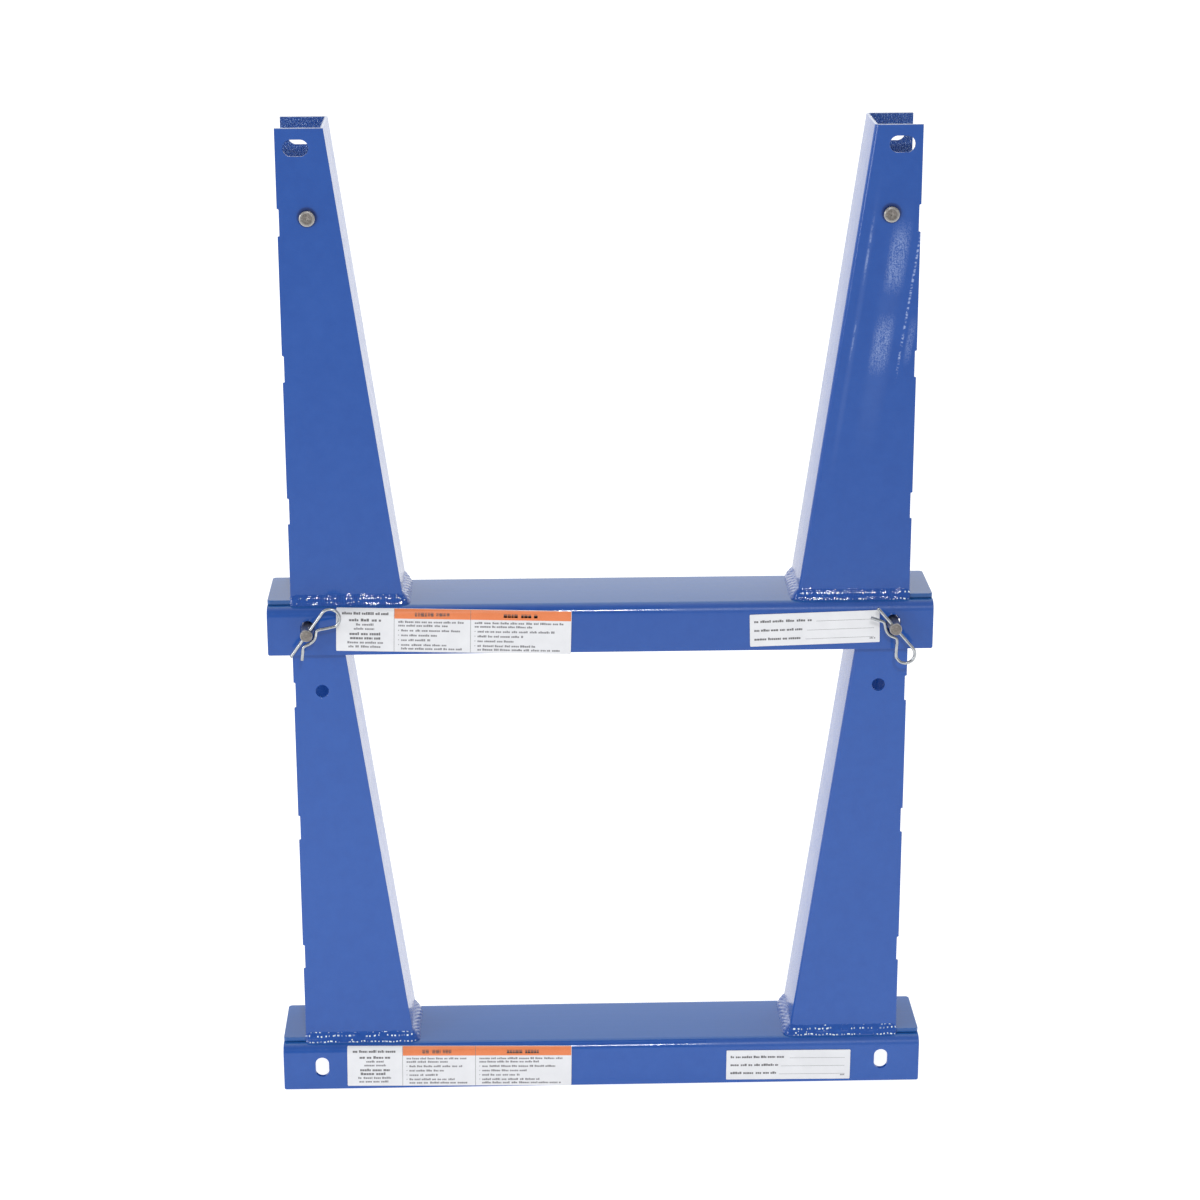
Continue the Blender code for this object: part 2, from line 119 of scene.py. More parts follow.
# ---------------------------------------------------------------- node maths
class Graph:
    """Small helper around a material's node tree."""

    def __init__(self, name):
        self.mat = bpy.data.materials.new(name)
        self.mat.use_nodes = True
        self.tree = self.mat.node_tree
        self.bsdf = self.tree.nodes["Principled BSDF"]
        self.out = self.tree.nodes["Material Output"]
        self.coord = self.tree.nodes.new("ShaderNodeTexCoord").outputs["Object"]

    def node(self, kind, **props):
        n = self.tree.nodes.new(kind)
        for k, v in props.items():
            setattr(n, k, v)
        return n

    def plug(self, socket, value):
        if isinstance(value, bpy.types.NodeSocket):
            self.tree.links.new(value, socket)
        else:
            socket.default_value = value

    def math(self, op, a, b=None, c=None, clamp=False):
        n = self.node("ShaderNodeMath", operation=op, use_clamp=clamp)
        self.plug(n.inputs[0], a)
        if b is not None:
            self.plug(n.inputs[1], b)
        if c is not None:
            self.plug(n.inputs[2], c)
        return n.outputs[0]

    def xyz(self, vector=None):
        n = self.node("ShaderNodeSeparateXYZ")
        self.plug(n.inputs[0], vector if vector is not None else self.coord)
        return n.outputs

    def mapped(self, scale=(1, 1, 1), rot=(0, 0, 0), loc=(0, 0, 0), vector=None):
        n = self.node("ShaderNodeMapping")
        self.plug(n.inputs["Vector"], vector if vector is not None else self.coord)
        n.inputs["Scale"].default_value = scale
        n.inputs["Rotation"].default_value = rot
        n.inputs["Location"].default_value = loc
        return n.outputs[0]

    def noise(self, scale, detail=2.0, rough=0.5, vector=None, distort=0.0):
        n = self.node("ShaderNodeTexNoise")
        self.plug(n.inputs["Vector"], vector if vector is not None else self.coord)
        n.inputs["Scale"].default_value = scale
        n.inputs["Detail"].default_value = detail
        n.inputs["Roughness"].default_value = rough
        n.inputs["Distortion"].default_value = distort
        return n.outputs["Fac"]

    def voronoi(self, scale, vector=None, feature='F1', rand=1.0, smooth=None):
        n = self.node("ShaderNodeTexVoronoi", feature=feature)
        self.plug(n.inputs["Vector"], vector if vector is not None else self.coord)
        n.inputs["Scale"].default_value = scale
        n.inputs["Randomness"].default_value = rand
        if smooth is not None:
            n.inputs["Smoothness"].default_value = smooth
        return n.outputs["Distance"]

    def ramp(self, fac, stops):
        n = self.node("ShaderNodeValToRGB")
        self.plug(n.inputs[0], fac)
        cr = n.color_ramp
        while len(cr.elements) < len(stops):
            cr.elements.new(0.5)
        for e, (pos, col) in zip(cr.elements, stops):
            e.position = pos
            e.color = (*col, 1.0) if len(col) == 3 else col
        return n.outputs["Color"]

    def remap(self, value, a, b, c, d, clamp=True, smooth=False):
        n = self.node("ShaderNodeMapRange", clamp=clamp)
        if smooth:
            n.interpolation_type = 'SMOOTHSTEP'
        self.plug(n.inputs["Value"], value)
        for key, v in (("From Min", a), ("From Max", b), ("To Min", c), ("To Max", d)):
            self.plug(n.inputs[key], v)
        return n.outputs["Result"]

    def mix(self, fac, a, b, blend='MIX'):
        n = self.node("ShaderNodeMix", data_type='RGBA', blend_type=blend)
        self.plug(n.inputs[0], fac)
        for socket, v in ((n.inputs[6], a), (n.inputs[7], b)):
            if isinstance(v, tuple) and len(v) == 3:
                v = (*v, 1.0)
            self.plug(socket, v)
        return n.outputs[2]

    def bump(self, height, strength, distance, normal=None):
        n = self.node("ShaderNodeBump")
        self.plug(n.inputs["Height"], height)
        self.plug(n.inputs["Strength"], strength)
        n.inputs["Distance"].default_value = distance
        if normal is not None:
            self.plug(n.inputs["Normal"], normal)
        return n.outputs["Normal"]

    def set(self, **values):
        names = {"color": "Base Color", "rough": "Roughness", "metal": "Metallic",
                 "normal": "Normal", "coat": "Coat Weight", "coat_rough": "Coat Roughness",
                 "coat_normal": "Coat Normal", "ior": "IOR", "spec": "Specular IOR Level",
                 "aniso": "Anisotropic", "coat_ior": "Coat IOR"}
        for k, v in values.items():
            if isinstance(v, tuple) and len(v) == 3:
                v = (*v, 1.0)
            self.plug(self.bsdf.inputs[names[k]], v)
        return self.mat


BLUE = (0.0160, 0.0820, 0.358)
BLUE_DEEP = (0.0132, 0.0725, 0.332)
BLUE_PALE = (0.0205, 0.0930, 0.384)


def web_line(g, offset, z_shift):
    """Signed distance of a point inwards of the web's outer face, in the
    upright's own plan: positive inside the channel."""
    x, y, z = g.xyz()
    ax = g.math('ABSOLUTE', x)
    foot = g.math('MULTIPLY_ADD', g.math('SUBTRACT', z, FOOT_Z + z_shift), WEB_SLOPE,
                  UP_OUT_X - UP_W_BOTTOM + offset)
    return g.math('SUBTRACT', ax, foot), ax, y, z


def powder_coat(name, z_shift=0.0, channel=False, peel=1.0, weld=False, painted_highlight_streaks=False,
                drawn=False):
    """Gloss powder coat on steel: orange peel in two sizes, colour that thins
    and pools, dust-fine speckle, and roughness that drifts over the panel."""
    g = Graph(name)
    drift = g.noise(5.0, 2.0, 0.5)
    cloud = g.noise(85.0, 4.0, 0.6)
    speck = g.noise(1450.0, 2.0, 0.6)
    tone = g.math('ADD', g.math('MULTIPLY', drift, 0.45), g.math('MULTIPLY', cloud, 0.55))
    # painted light: the lower frame's coat is made a shade paler than the upper one, standing in for
    # the extra light it gets from the floor
    painted_frame_light = (1.0, 1.0, 1.0) if z_shift else (1.03, 1.08, 1.07)
    col = g.ramp(tone, [(at, tuple(a * b for a, b in zip(shade, painted_frame_light)))
                        for at, shade in ((0.25, BLUE_DEEP), (0.50, BLUE), (0.78, BLUE_PALE))])
    col = g.mix(g.remap(speck, 0.55, 0.80, 0.0, 0.14), col, (0.030, 0.115, 0.470))
    dark = g.remap(g.noise(620.0, 3.0, 0.7), 0.60, 0.82, 0.0, 0.20)
    col = g.mix(dark, col, (0.004, 0.034, 0.235))

    fine = g.noise(760.0, 2.0, 0.5)
    broad = g.noise(230.0, 2.0, 0.45)
    height = g.math('ADD', g.math('MULTIPLY', fine, 0.35), g.math('MULTIPLY', broad, 0.65))
    normal = g.bump(height, 0.16 * (0.25 if weld else 0.6 if drawn else peel), 0.0007)
    rough = g.remap(cloud, 0.3, 0.7, 0.10 if drawn else 0.13, 0.155 if drawn else 0.20)

    if drawn:
        # plate rolled lengthways: faint long lines under the coat
        lines = g.noise(1.0, 3.0, 0.6, vector=g.mapped((5.0, 420.0, 420.0)))
        x, y, z = g.xyz()
        top = g.remap(z, z_shift + BASE_H - 0.0015, z_shift + BASE_H - 0.0003, 0.0, 1.0)
        # painted light and shade: the flat gets its own greener tone than the sides, standing in for
        # how it catches the light from above, darker on the upper frame
        col = g.mix(g.math('MULTIPLY', top, 0.80), col,
                    (0.018, 0.110, 0.326) if z_shift else (0.018, 0.118, 0.382))
        marked = g.math('MULTIPLY', g.remap(lines, 0.45, 0.72, 0.0, 0.30), top)
        col = g.mix(marked, col, (0.030, 0.115, 0.420))
        normal = g.bump(lines, g.math('MULTIPLY', top, 0.10), 0.0005, normal)
        # the coat lies lumpier along the bends
        runs = g.noise(1.0, 2.0, 0.5, vector=g.mapped((290.0, 40.0, 40.0)))
        bend = g.remap(z, z_shift + BASE_H - BASE_R, z_shift + BASE_H - BASE_R + 0.002, 0.0, 1.0)
        bend = g.math('MULTIPLY', bend, g.math('SUBTRACT', 1.0, top))
        normal = g.bump(runs, g.math('MULTIPLY', bend, 0.34), 0.0006, normal)
        # and lies duller towards the right-hand end
        dull = g.remap(x, 0.045 if z_shift else 0.085, 0.090 if z_shift else 0.130, 0.0, 0.24)
        rough = g.math('MULTIPLY_ADD', dull, bend, rough)

    if channel:
        # formed sheet isn't flat: faint waves run parallel to the bend
        d, ax, y, z = web_line(g, 0.0, z_shift)
        wave_v = g.node("ShaderNodeCombineXYZ")
        g.plug(wave_v.inputs[0], g.math('MULTIPLY', d, 62.0))
        g.plug(wave_v.inputs[1], g.math('MULTIPLY', y, 6.0))
        g.plug(wave_v.inputs[2], g.math('MULTIPLY', z, 5.5))
        waves = g.noise(1.0, 2.0, 0.5, vector=wave_v.outputs[0])
        normal = g.bump(waves, 0.20, 0.0012, normal)
        # inside the channel the powder lies thin and coarse
        inner_wall = g.math('GREATER_THAN', g.math('SUBTRACT', d, UP_T * 0.62), 0.0)
        between = g.math('LESS_THAN', g.math('ABSOLUTE', y), UP_D / 2 - UP_T * 0.62)
        inside = g.math('MULTIPLY', inner_wall, between)
        coarse = g.voronoi(620.0, feature='SMOOTH_F1', smooth=0.25)
        grain = g.noise(1100.0, 3.0, 0.65)
        rug = g.math('ADD', g.math('MULTIPLY', coarse, 1.0), g.math('MULTIPLY', grain, 0.7))
        near_top = g.remap(z, UP_TOP + z_shift - 0.075, UP_TOP + z_shift - 0.045, 0.12, 1.0)
        normal = g.bump(rug, g.math('MULTIPLY', inside, near_top), 0.0011, normal)
        painted_channel_glint = g.remap(g.noise(930.0, 2.0, 0.6), 0.575, 0.63, 0.0, 0.85)
        # painted glints: pale glints on the coarse powder inside the channel, only near the top where
        # light reaches in, strongest on the flanges' inner faces
        flank = g.remap(g.math('ABSOLUTE', y), UP_D / 2 - UP_T - 0.005,
                        UP_D / 2 - UP_T - 0.0015, 0.30, 1.0)
        painted_channel_glint = g.math('MULTIPLY', g.math('MULTIPLY', painted_channel_glint, near_top), flank)
        col = g.mix(g.math('MULTIPLY', inside, painted_channel_glint), col, (0.36, 0.56, 0.90))
        # painted highlight: a pale line along the sheared top edge
        rim = g.remap(z, UP_TOP + z_shift - 0.00065, UP_TOP + z_shift - 0.0001, 0.0, 0.80)
        rim = g.math('MULTIPLY', rim, g.remap(cloud, 0.30, 0.55, 0.55, 1.0))
        col = g.mix(rim, col, (0.52, 0.58, 0.72))
        # painted shade: the inside of the channel darkened in coarse patches, most near the top
        shade = g.math('MULTIPLY', g.remap(coarse, 0.15, 0.60, 0.34, 0.0),
                       g.math('MAXIMUM', near_top, 0.35))
        col = g.mix(g.math('MULTIPLY', inside, shade), col, (0.006, 0.040, 0.200))
        if z_shift:
            # the coat darkens in the shadow of a stowed pin's head
            leaning = g.math('ABSOLUTE', ax)
            u = g.math('SUBTRACT', leaning, UP_OUT_X - STOW_X)
            v = g.math('SUBTRACT', z, z_shift + UP_TOP - STOW_DROP + 0.0011)
            near = g.math('SQRT', g.math('ADD', g.math('MULTIPLY', u, u), g.math('MULTIPLY', v, v)))
            ring = g.remap(near, HEAD_D / 2 + 0.0004, HEAD_D / 2 + 0.0030, 0.80, 0.0, smooth=True)
            ring = g.math('MULTIPLY', ring, g.math('LESS_THAN', y, -UP_D / 2 + 0.0008))
            col = g.mix(ring, col, (0.0030, 0.0200, 0.1300))
    if painted_highlight_streaks:
        # painted highlights: soft streaks of reflected light on the front flange, parallel to the
        # bend, as a faintly wavy sheet would show them
        def band(value, a, b, soft):
            up = g.remap(value, a - soft, a + soft, 0.0, 1.0, smooth=True)
            down = g.remap(value, b - soft, b + soft, 1.0, 0.0, smooth=True)
            return g.math('MULTIPLY', up, down)
        local = g.math('SUBTRACT', z, z_shift)
        bend = g.math('ADD', d, g.math('MULTIPLY', g.noise(9.0, 1.0), 0.0016))
        face = g.math('LESS_THAN', y, -UP_D / 2 + 0.0008)
        broken = g.remap(g.noise(820.0, 3.0, 0.7), 0.42, 0.58, 0.0, 1.0)
        lines = g.remap(g.noise(1.0, 3.0, 0.6, vector=g.mapped((900.0, 900.0, 60.0))),
                        0.42, 0.66, 0.0, 1.0)
        dashes = g.remap(g.noise(1.0, 3.0, 0.7, vector=g.mapped((300.0, 300.0, 210.0))),
                         0.38, 0.60, 0.10, 1.35)
        dots = g.remap(g.noise(1.0, 2.0, 0.6, vector=g.mapped((150.0, 150.0, 380.0))),
                       0.47, 0.58, 0.0, 1.5)
        painted_sheen = 0.0
        for d0, d1, z0, z1, soft_d, soft_z, amount, grain_on in (
                (0.53, 0.62, 15.2, 17.4, 0.032, 0.75, 0.36, 2),
                (0.53, 0.60, 12.0, 13.5, 0.032, 0.55, 0.33, 2),
                (0.50, 0.68, 8.5, 17.8, 0.08, 2.20, 0.05, 0),
                (1.45, 2.10, 14.9, 17.1, 0.16, 0.70, 0.56, 1),
                (1.40, 2.05, 11.6, 13.5, 0.16, 0.60, 0.54, 1),
                (1.35, 2.10, 9.0, 17.6, 0.25, 1.60, 0.035, 0),
                (2.48, 2.56, 11.5, 16.8, 0.028, 0.60, 0.52, 3),
                (2.72, 2.95, 12.0, 13.4, 0.08, 0.45, 0.36, 1)):
            one = g.math('MULTIPLY', band(bend, d0 * IN, d1 * IN, soft_d * IN),
                         band(local, z0 * IN, z1 * IN, soft_z * IN))
            one = g.math('MULTIPLY', one, amount)
            if grain_on > 1:
                one = g.math('MULTIPLY', one, dashes if grain_on == 2 else dots)
            elif grain_on:
                one = g.math('MULTIPLY', one, g.math('ADD', g.math('MULTIPLY', broken, 0.75),
                                                     g.math('MULTIPLY', lines, 0.35)))
            painted_sheen = one if isinstance(painted_sheen, float) else g.math('MAXIMUM', painted_sheen, one)
        painted_sheen = g.math('MULTIPLY', painted_sheen, face)
        col = g.mix(painted_sheen, col, (0.36, 0.46, 0.74))
        rough = g.math('MULTIPLY_ADD', painted_sheen, 0.22, rough)
    if weld:
        pool = g.remap(g.noise(210.0, 3.0, 0.6), 0.35, 0.7, 0.05, 0.45)
        col = g.mix(pool, col, (0.006, 0.044, 0.270))
        # the strands of the inner bead catch the light along their backs
        x = g.xyz()[0]
        d, ax, y, z = web_line(g, 0.0, z_shift)
        k = g.remap(d, 0.0, -WELD_LEG, 0.0, 1.0)
        turn = g.math('SUBTRACT', g.math('DIVIDE', y, STRAND_PITCH),
                      g.math('MULTIPLY', k, STRAND_LEAN))
        strand = g.math('ABSOLUTE', g.math('SINE', g.math('MULTIPLY', turn, math.pi)))
        on_web = g.math('MULTIPLY', g.remap(d, 0.0008, -0.0008, 0.0, 1.0),
                        g.remap(g.math('ABSOLUTE', y), UP_D / 2 - 0.005, UP_D / 2, 1.0, 0.0))
        lit = g.math('MULTIPLY', g.remap(strand, 0.25, 0.90, 0.0, 0.55),
                     g.remap(g.noise(330.0, 2.0), 0.35, 0.60, 0.35, 1.0))
        col = g.mix(g.math('MULTIPLY', lit, on_web), col, (0.34, 0.42, 0.64))
        rough = g.remap(cloud, 0.3, 0.7, 0.04, 0.09)
        # painted glints: rows of bright flecks along the front bead, one row at each pass's rim
        front = g.math('LESS_THAN', y, -UP_D / 2 - 0.0002)
        toe = base_top_z(UP_D / 2 + FLANGE_WELD_LEG)
        tall = FOOT_Z + WELD_RISE - toe
        local = g.math('SUBTRACT', g.math('SUBTRACT', z, z_shift), toe)
        wander = g.noise(1.0, 2.0, 0.5, vector=g.mapped((210.0, 0.0, 0.0)))
        painted_glint_specks = 0.0
        for frac, half, pitch, seed in ((0.56, 0.00085, 0.0044, 3.1), (0.11, 0.00070, 0.0039, 8.6),
                                        (0.84, 0.00055, 0.0047, 12.4)):
            sway = g.math('MULTIPLY', g.math('SUBTRACT', g.noise(
                1.0, 2.0, 0.6, vector=g.mapped((62.0, 0.0, 0.0), loc=(seed, 0.0, 0.0))), 0.5),
                0.0052)
            away = g.math('ABSOLUTE', g.math('SUBTRACT', g.math('SUBTRACT', local, tall * frac),
                                             sway))
            row = g.remap(away, half * 0.60, half * 1.10, 1.0, 0.0)
            tick = g.math('ABSOLUTE', g.math('SINE', g.math(
                'MULTIPLY_ADD', x, math.pi / pitch, g.math('MULTIPLY', wander, 7.0))))
            row = g.math('MULTIPLY', row, g.remap(tick, 0.72, 0.84, 0.0, 1.0))
            gate = g.noise(1.0, 2.0, 0.6, vector=g.mapped((48.0, 0.0, 0.0),
                                                          loc=(seed * 2.3, 0.0, 0.0)))
            shut = 0.485 if frac < 0.2 else 0.50 if frac < 0.8 else 0.54
            # the upper left-hand bead gets fewer painted glints, the lower ones more
            gate = g.math('ADD', gate, g.remap(x, -0.01, 0.01, -0.062, 0.0) if z_shift
                          else g.remap(x, -0.01, 0.01, 0.055, 0.040))
            row = g.math('MULTIPLY', row, g.remap(gate, shut, shut + 0.07, 0.0, 1.0))
            painted_glint_specks = row if isinstance(painted_glint_specks, float) else g.math('MAXIMUM', painted_glint_specks, row)
        painted_glint_blob = g.remap(g.voronoi(240.0), 0.16, 0.24, 1.0, 0.0)
        painted_glint_blob = g.math('MULTIPLY', painted_glint_blob, g.remap(g.noise(1.0, 2.0, 0.6, vector=g.mapped(
            (62.0, 90.0, 120.0))), 0.56, 0.60, 0.0, 1.0))
        painted_glint_blob = g.math('MULTIPLY', painted_glint_blob, g.remap(g.math('DIVIDE', local, tall), 0.80, 0.90, 1.0, 0.0))
        painted_glint_specks = g.math('MULTIPLY', g.math('MAXIMUM', painted_glint_specks, painted_glint_blob), front)
        col = g.mix(painted_glint_specks, col, (0.86, 0.97, 1.0))
        rough = g.math('MULTIPLY_ADD', painted_glint_specks, 0.34, rough)
    g.set(color=col, rough=rough, normal=normal, ior=1.5)
    return g.mat


def zinc_pin(name, rim_r, edge_r):
    """Dull zinc plate over turned steel: faint lathe rings, grey bloom, and
    corners worn brighter than the flats. The pin lies along Y."""
    g = Graph(name)
    x, y, z = g.xyz()
    radius = g.math('SQRT', g.math('ADD', g.math('MULTIPLY', x, x), g.math('MULTIPLY', z, z)))
    bloom = g.noise(620.0, 4.0, 0.6)
    stain = g.noise(190.0, 3.0, 0.6)
    col = g.ramp(g.math('ADD', g.math('MULTIPLY', bloom, 0.6), g.math('MULTIPLY', stain, 0.4)),
                 [(0.30, (0.135, 0.122, 0.110)), (0.50, (0.225, 0.208, 0.192)),
                  (0.72, (0.360, 0.342, 0.322))])
    col = g.mix(g.remap(g.noise(330.0, 2.0, 0.5), 0.52, 0.68, 0.0, 0.25), col,
                (0.27, 0.20, 0.20))
    rings = g.math('SINE', g.math('MULTIPLY', radius, 14000.0))
    grain = g.noise(1800.0, 3.0, 0.6)
    h = g.math('ADD', g.math('MULTIPLY', rings, 0.12), grain)
    normal = g.bump(h, 0.20, 0.0003)
    worn = g.math('MULTIPLY', g.remap(radius, rim_r - 0.0003, rim_r + 0.0002, 0.0, 0.85),
                  g.remap(radius, rim_r + 0.00105, rim_r + 0.00125, 1.0, 0.0))
    worn_end = g.math('MULTIPLY', g.remap(radius, edge_r - 0.0011, edge_r - 0.0006, 0.0, 0.55),
                      g.math('LESS_THAN', radius, edge_r + 0.0004))
    worn = g.math('MAXIMUM', worn, worn_end)
    worn = g.math('MULTIPLY', worn, g.remap(g.noise(260.0, 3.0), 0.30, 0.55, 0.55, 1.0))
    col = g.mix(worn, col, (0.52, 0.51, 0.49))
    # painted shade: the head's side darkened, standing in for the shadow in the gap under the head
    painted_side_shade = g.remap(radius, rim_r + 0.00119, rim_r + 0.00127, 0.0, 0.85)
    col = g.mix(painted_side_shade, col, (0.035, 0.032, 0.030))
    rough = g.math('SUBTRACT', g.remap(bloom, 0.3, 0.7, 0.34, 0.52),
                   g.math('MULTIPLY', worn, 0.18))
    g.set(color=col, rough=rough, metal=0.90, normal=normal)
    return g.mat


def bright_wire(name):
    """Bright zinc-plated spring wire: drawn along its length, small nicks."""
    g = Graph(name)
    streak = g.noise(900.0, 3.0, 0.6)
    cloud = g.noise(150.0, 3.0, 0.6)
    col = g.ramp(cloud, [(0.3, (0.36, 0.38, 0.40)), (0.55, (0.48, 0.50, 0.52)),
                         (0.75, (0.66, 0.68, 0.70))])
    nick = g.remap(g.voronoi(330.0), 0.0, 0.10, 0.45, 0.0)
    col = g.mix(nick, col, (0.22, 0.22, 0.21))
    normal = g.bump(streak, 0.10, 0.0003)
    g.set(color=col, rough=g.remap(streak, 0.3, 0.7, 0.16, 0.30), metal=1.0, normal=normal)
    # the plating dulls where it turns away
    g.bsdf.inputs["Specular Tint"].default_value = (0.12, 0.12, 0.13, 1.0)
    return g.mat


def vinyl(name):
    """White label vinyl: very slight mottling, soft gloss, faint ripples."""
    g = Graph(name)
    cloud = g.noise(45.0, 3.0, 0.6)
    fibre = g.noise(1500.0, 3.0, 0.6)
    col = g.ramp(cloud, [(0.3, (0.735, 0.745, 0.775)), (0.7, (0.790, 0.800, 0.830))])
    col = g.mix(g.remap(fibre, 0.6, 0.8, 0.0, 0.18), col, (0.57, 0.57, 0.59))
    h = g.math('ADD', g.math('MULTIPLY', g.noise(60.0, 2.0), 0.8), g.math('MULTIPLY', fibre, 0.1))
    g.set(color=col, rough=g.remap(cloud, 0.3, 0.7, 0.36, 0.48),
          normal=g.bump(h, 0.10, 0.0006), coat=0.15, coat_rough=0.2)
    return g.mat


def ink(name, dark, light, rough=0.42):
    """Printed ink: uneven coverage, a little paper showing through."""
    g = Graph(name)
    cover = g.noise(700.0, 3.0, 0.65)
    cloud = g.noise(70.0, 2.0, 0.5)
    f = g.math('ADD', g.math('MULTIPLY', cover, 0.6), g.math('MULTIPLY', cloud, 0.4))
    col = g.ramp(f, [(0.32, dark), (0.72, light)])
    g.set(color=col, rough=g.remap(cover, 0.3, 0.7, rough - 0.06, rough + 0.06),
          normal=g.bump(cover, 0.08, 0.0003))
    return g.mat


MAT = {}
for u, zs in (("lower", 0.0), ("upper", PITCH)):
    MAT[u + "_channel"] = powder_coat(u + "_channel_coat", zs, channel=True)
    MAT[u + "_base"] = powder_coat(u + "_base_coat", zs, drawn=True)
    MAT[u + "_weld"] = powder_coat(u + "_weld_coat", zs, weld=True)
MAT["upper_right_channel"] = powder_coat("upper_right_channel_coat", PITCH, channel=True,
                                        painted_highlight_streaks=True)
MAT["pin"] = zinc_pin("dull_zinc", HEAD_D / 2 - 0.0013, PIN_D / 2)
MAT["wire"] = bright_wire("bright_wire")
MAT["vinyl"] = vinyl("label_vinyl")
MAT["grey_ink"] = ink("grey_ink", (0.11, 0.11, 0.115), (0.20, 0.20, 0.21))
MAT["pale_ink"] = ink("pale_ink", (0.19, 0.19, 0.20), (0.30, 0.30, 0.32))
MAT["black_ink"] = ink("black_ink", (0.055, 0.05, 0.05), (0.11, 0.10, 0.10))
MAT["orange_ink"] = ink("orange_ink", (0.74, 0.195, 0.060), (0.82, 0.245, 0.092))


# ---------------------------------------------------------------- mesh helpers
def link(ob):
    scene.collection.objects.link(ob)
    return ob


def finish_mesh(bm, name):
    bmesh.ops.recalc_face_normals(bm, faces=bm.faces[:])
    me = bpy.data.meshes.new(name)
    bm.to_mesh(me)
    bm.free()
    return me


def box_into(bm, x0, x1, y0, y1, z0, z1):
    size = Matrix.Diagonal((abs(x1 - x0), y1 - y0, z1 - z0, 1.0))
    place = Matrix.Translation(((x0 + x1) / 2, (y0 + y1) / 2, (z0 + z1) / 2))
    return bmesh.ops.create_cube(bm, size=1.0, matrix=place @ size)["verts"]


def edges_where(bm, test):
    return [e for e in bm.edges if test(e.verts[0].co, e.verts[1].co)]


def round_edges(bm, edges, radius, segments):
    bmesh.ops.bevel(bm, geom=edges, offset=radius, segments=segments,
                    profile=0.5, affect='EDGES', clamp_overlap=True)


def obround_into(bm, centre, half_straight, radius, depth, along_x, segments=64):
    half_step = math.pi / segments
    turn = Matrix.Rotation(math.pi / 2, 4, 'X') @ Matrix.Rotation(half_step, 4, 'Z')
    r = radius / math.cos(half_step)
    got = bmesh.ops.create_cone(bm, cap_ends=True, segments=segments, radius1=r,
                                radius2=r, depth=depth,
                                matrix=Matrix.Translation(centre) @ turn)
    if half_straight > 0:
        for v in got["verts"]:
            off = v.co - Vector(centre)
            a = off.x if along_x else off.z
            v.co[0 if along_x else 2] += math.copysign(half_straight, a)


def carve(name, body, cutters, material, edge=0.0004, angle=30, segments=2):
    """Cuts, then rounds every sharp edge as the coat does, and keeps the mesh."""
    ob = link(bpy.data.objects.new(name + "_work", body))
    made = []
    for i, me in enumerate(cutters):
        c = link(bpy.data.objects.new(f"{name}_cutter{i}", me))
        made.append(c)
        m = ob.modifiers.new("cut", 'BOOLEAN')
        m.operation, m.solver, m.object = 'DIFFERENCE', 'EXACT', c
    bpy.context.view_layer.update()
    dg = bpy.context.evaluated_depsgraph_get()
    me = bpy.data.meshes.new_from_object(ob.evaluated_get(dg))
    bm = bmesh.new()
    bm.from_mesh(me)
    bmesh.ops.remove_doubles(bm, verts=bm.verts[:], dist=1e-6)
    bmesh.ops.dissolve_degenerate(bm, edges=bm.edges[:], dist=1e-6)
    bmesh.ops.dissolve_limit(bm, angle_limit=math.radians(0.4), verts=bm.verts[:],
                             edges=bm.edges[:])
    bm.to_mesh(me)
    bm.free()
    ob.modifiers.clear()
    ob.data = me
    if edge:
        b = ob.modifiers.new("edge", 'BEVEL')
        b.width = edge
        b.segments = segments
        b.limit_method = 'ANGLE'
        b.angle_limit = math.radians(angle)
        b.harden_normals = True
        b.miter_outer = 'MITER_ARC'
        me.shade_smooth()
        bpy.context.view_layer.update()
        dg = bpy.context.evaluated_depsgraph_get()
        me2 = bpy.data.meshes.new_from_object(ob.evaluated_get(dg))
    else:
        me2 = me
    me2.name = name
    out = link(bpy.data.objects.new(name, me2))
    me2.materials.clear()
    me2.materials.append(material)
    bpy.data.objects.remove(ob)
    for c in made:
        bpy.data.objects.remove(c)
    return out


def place(ob, body, *replaced, slot=None):
    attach(ob, body)
    if replaced:
        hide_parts(*replaced)
    return ob


# ---------------------------------------------------------------- steelwork
def web_x(z, inset=0.0):
    return UP_OUT_X - UP_W_BOTTOM + WEB_SLOPE * (z - FOOT_Z) + inset


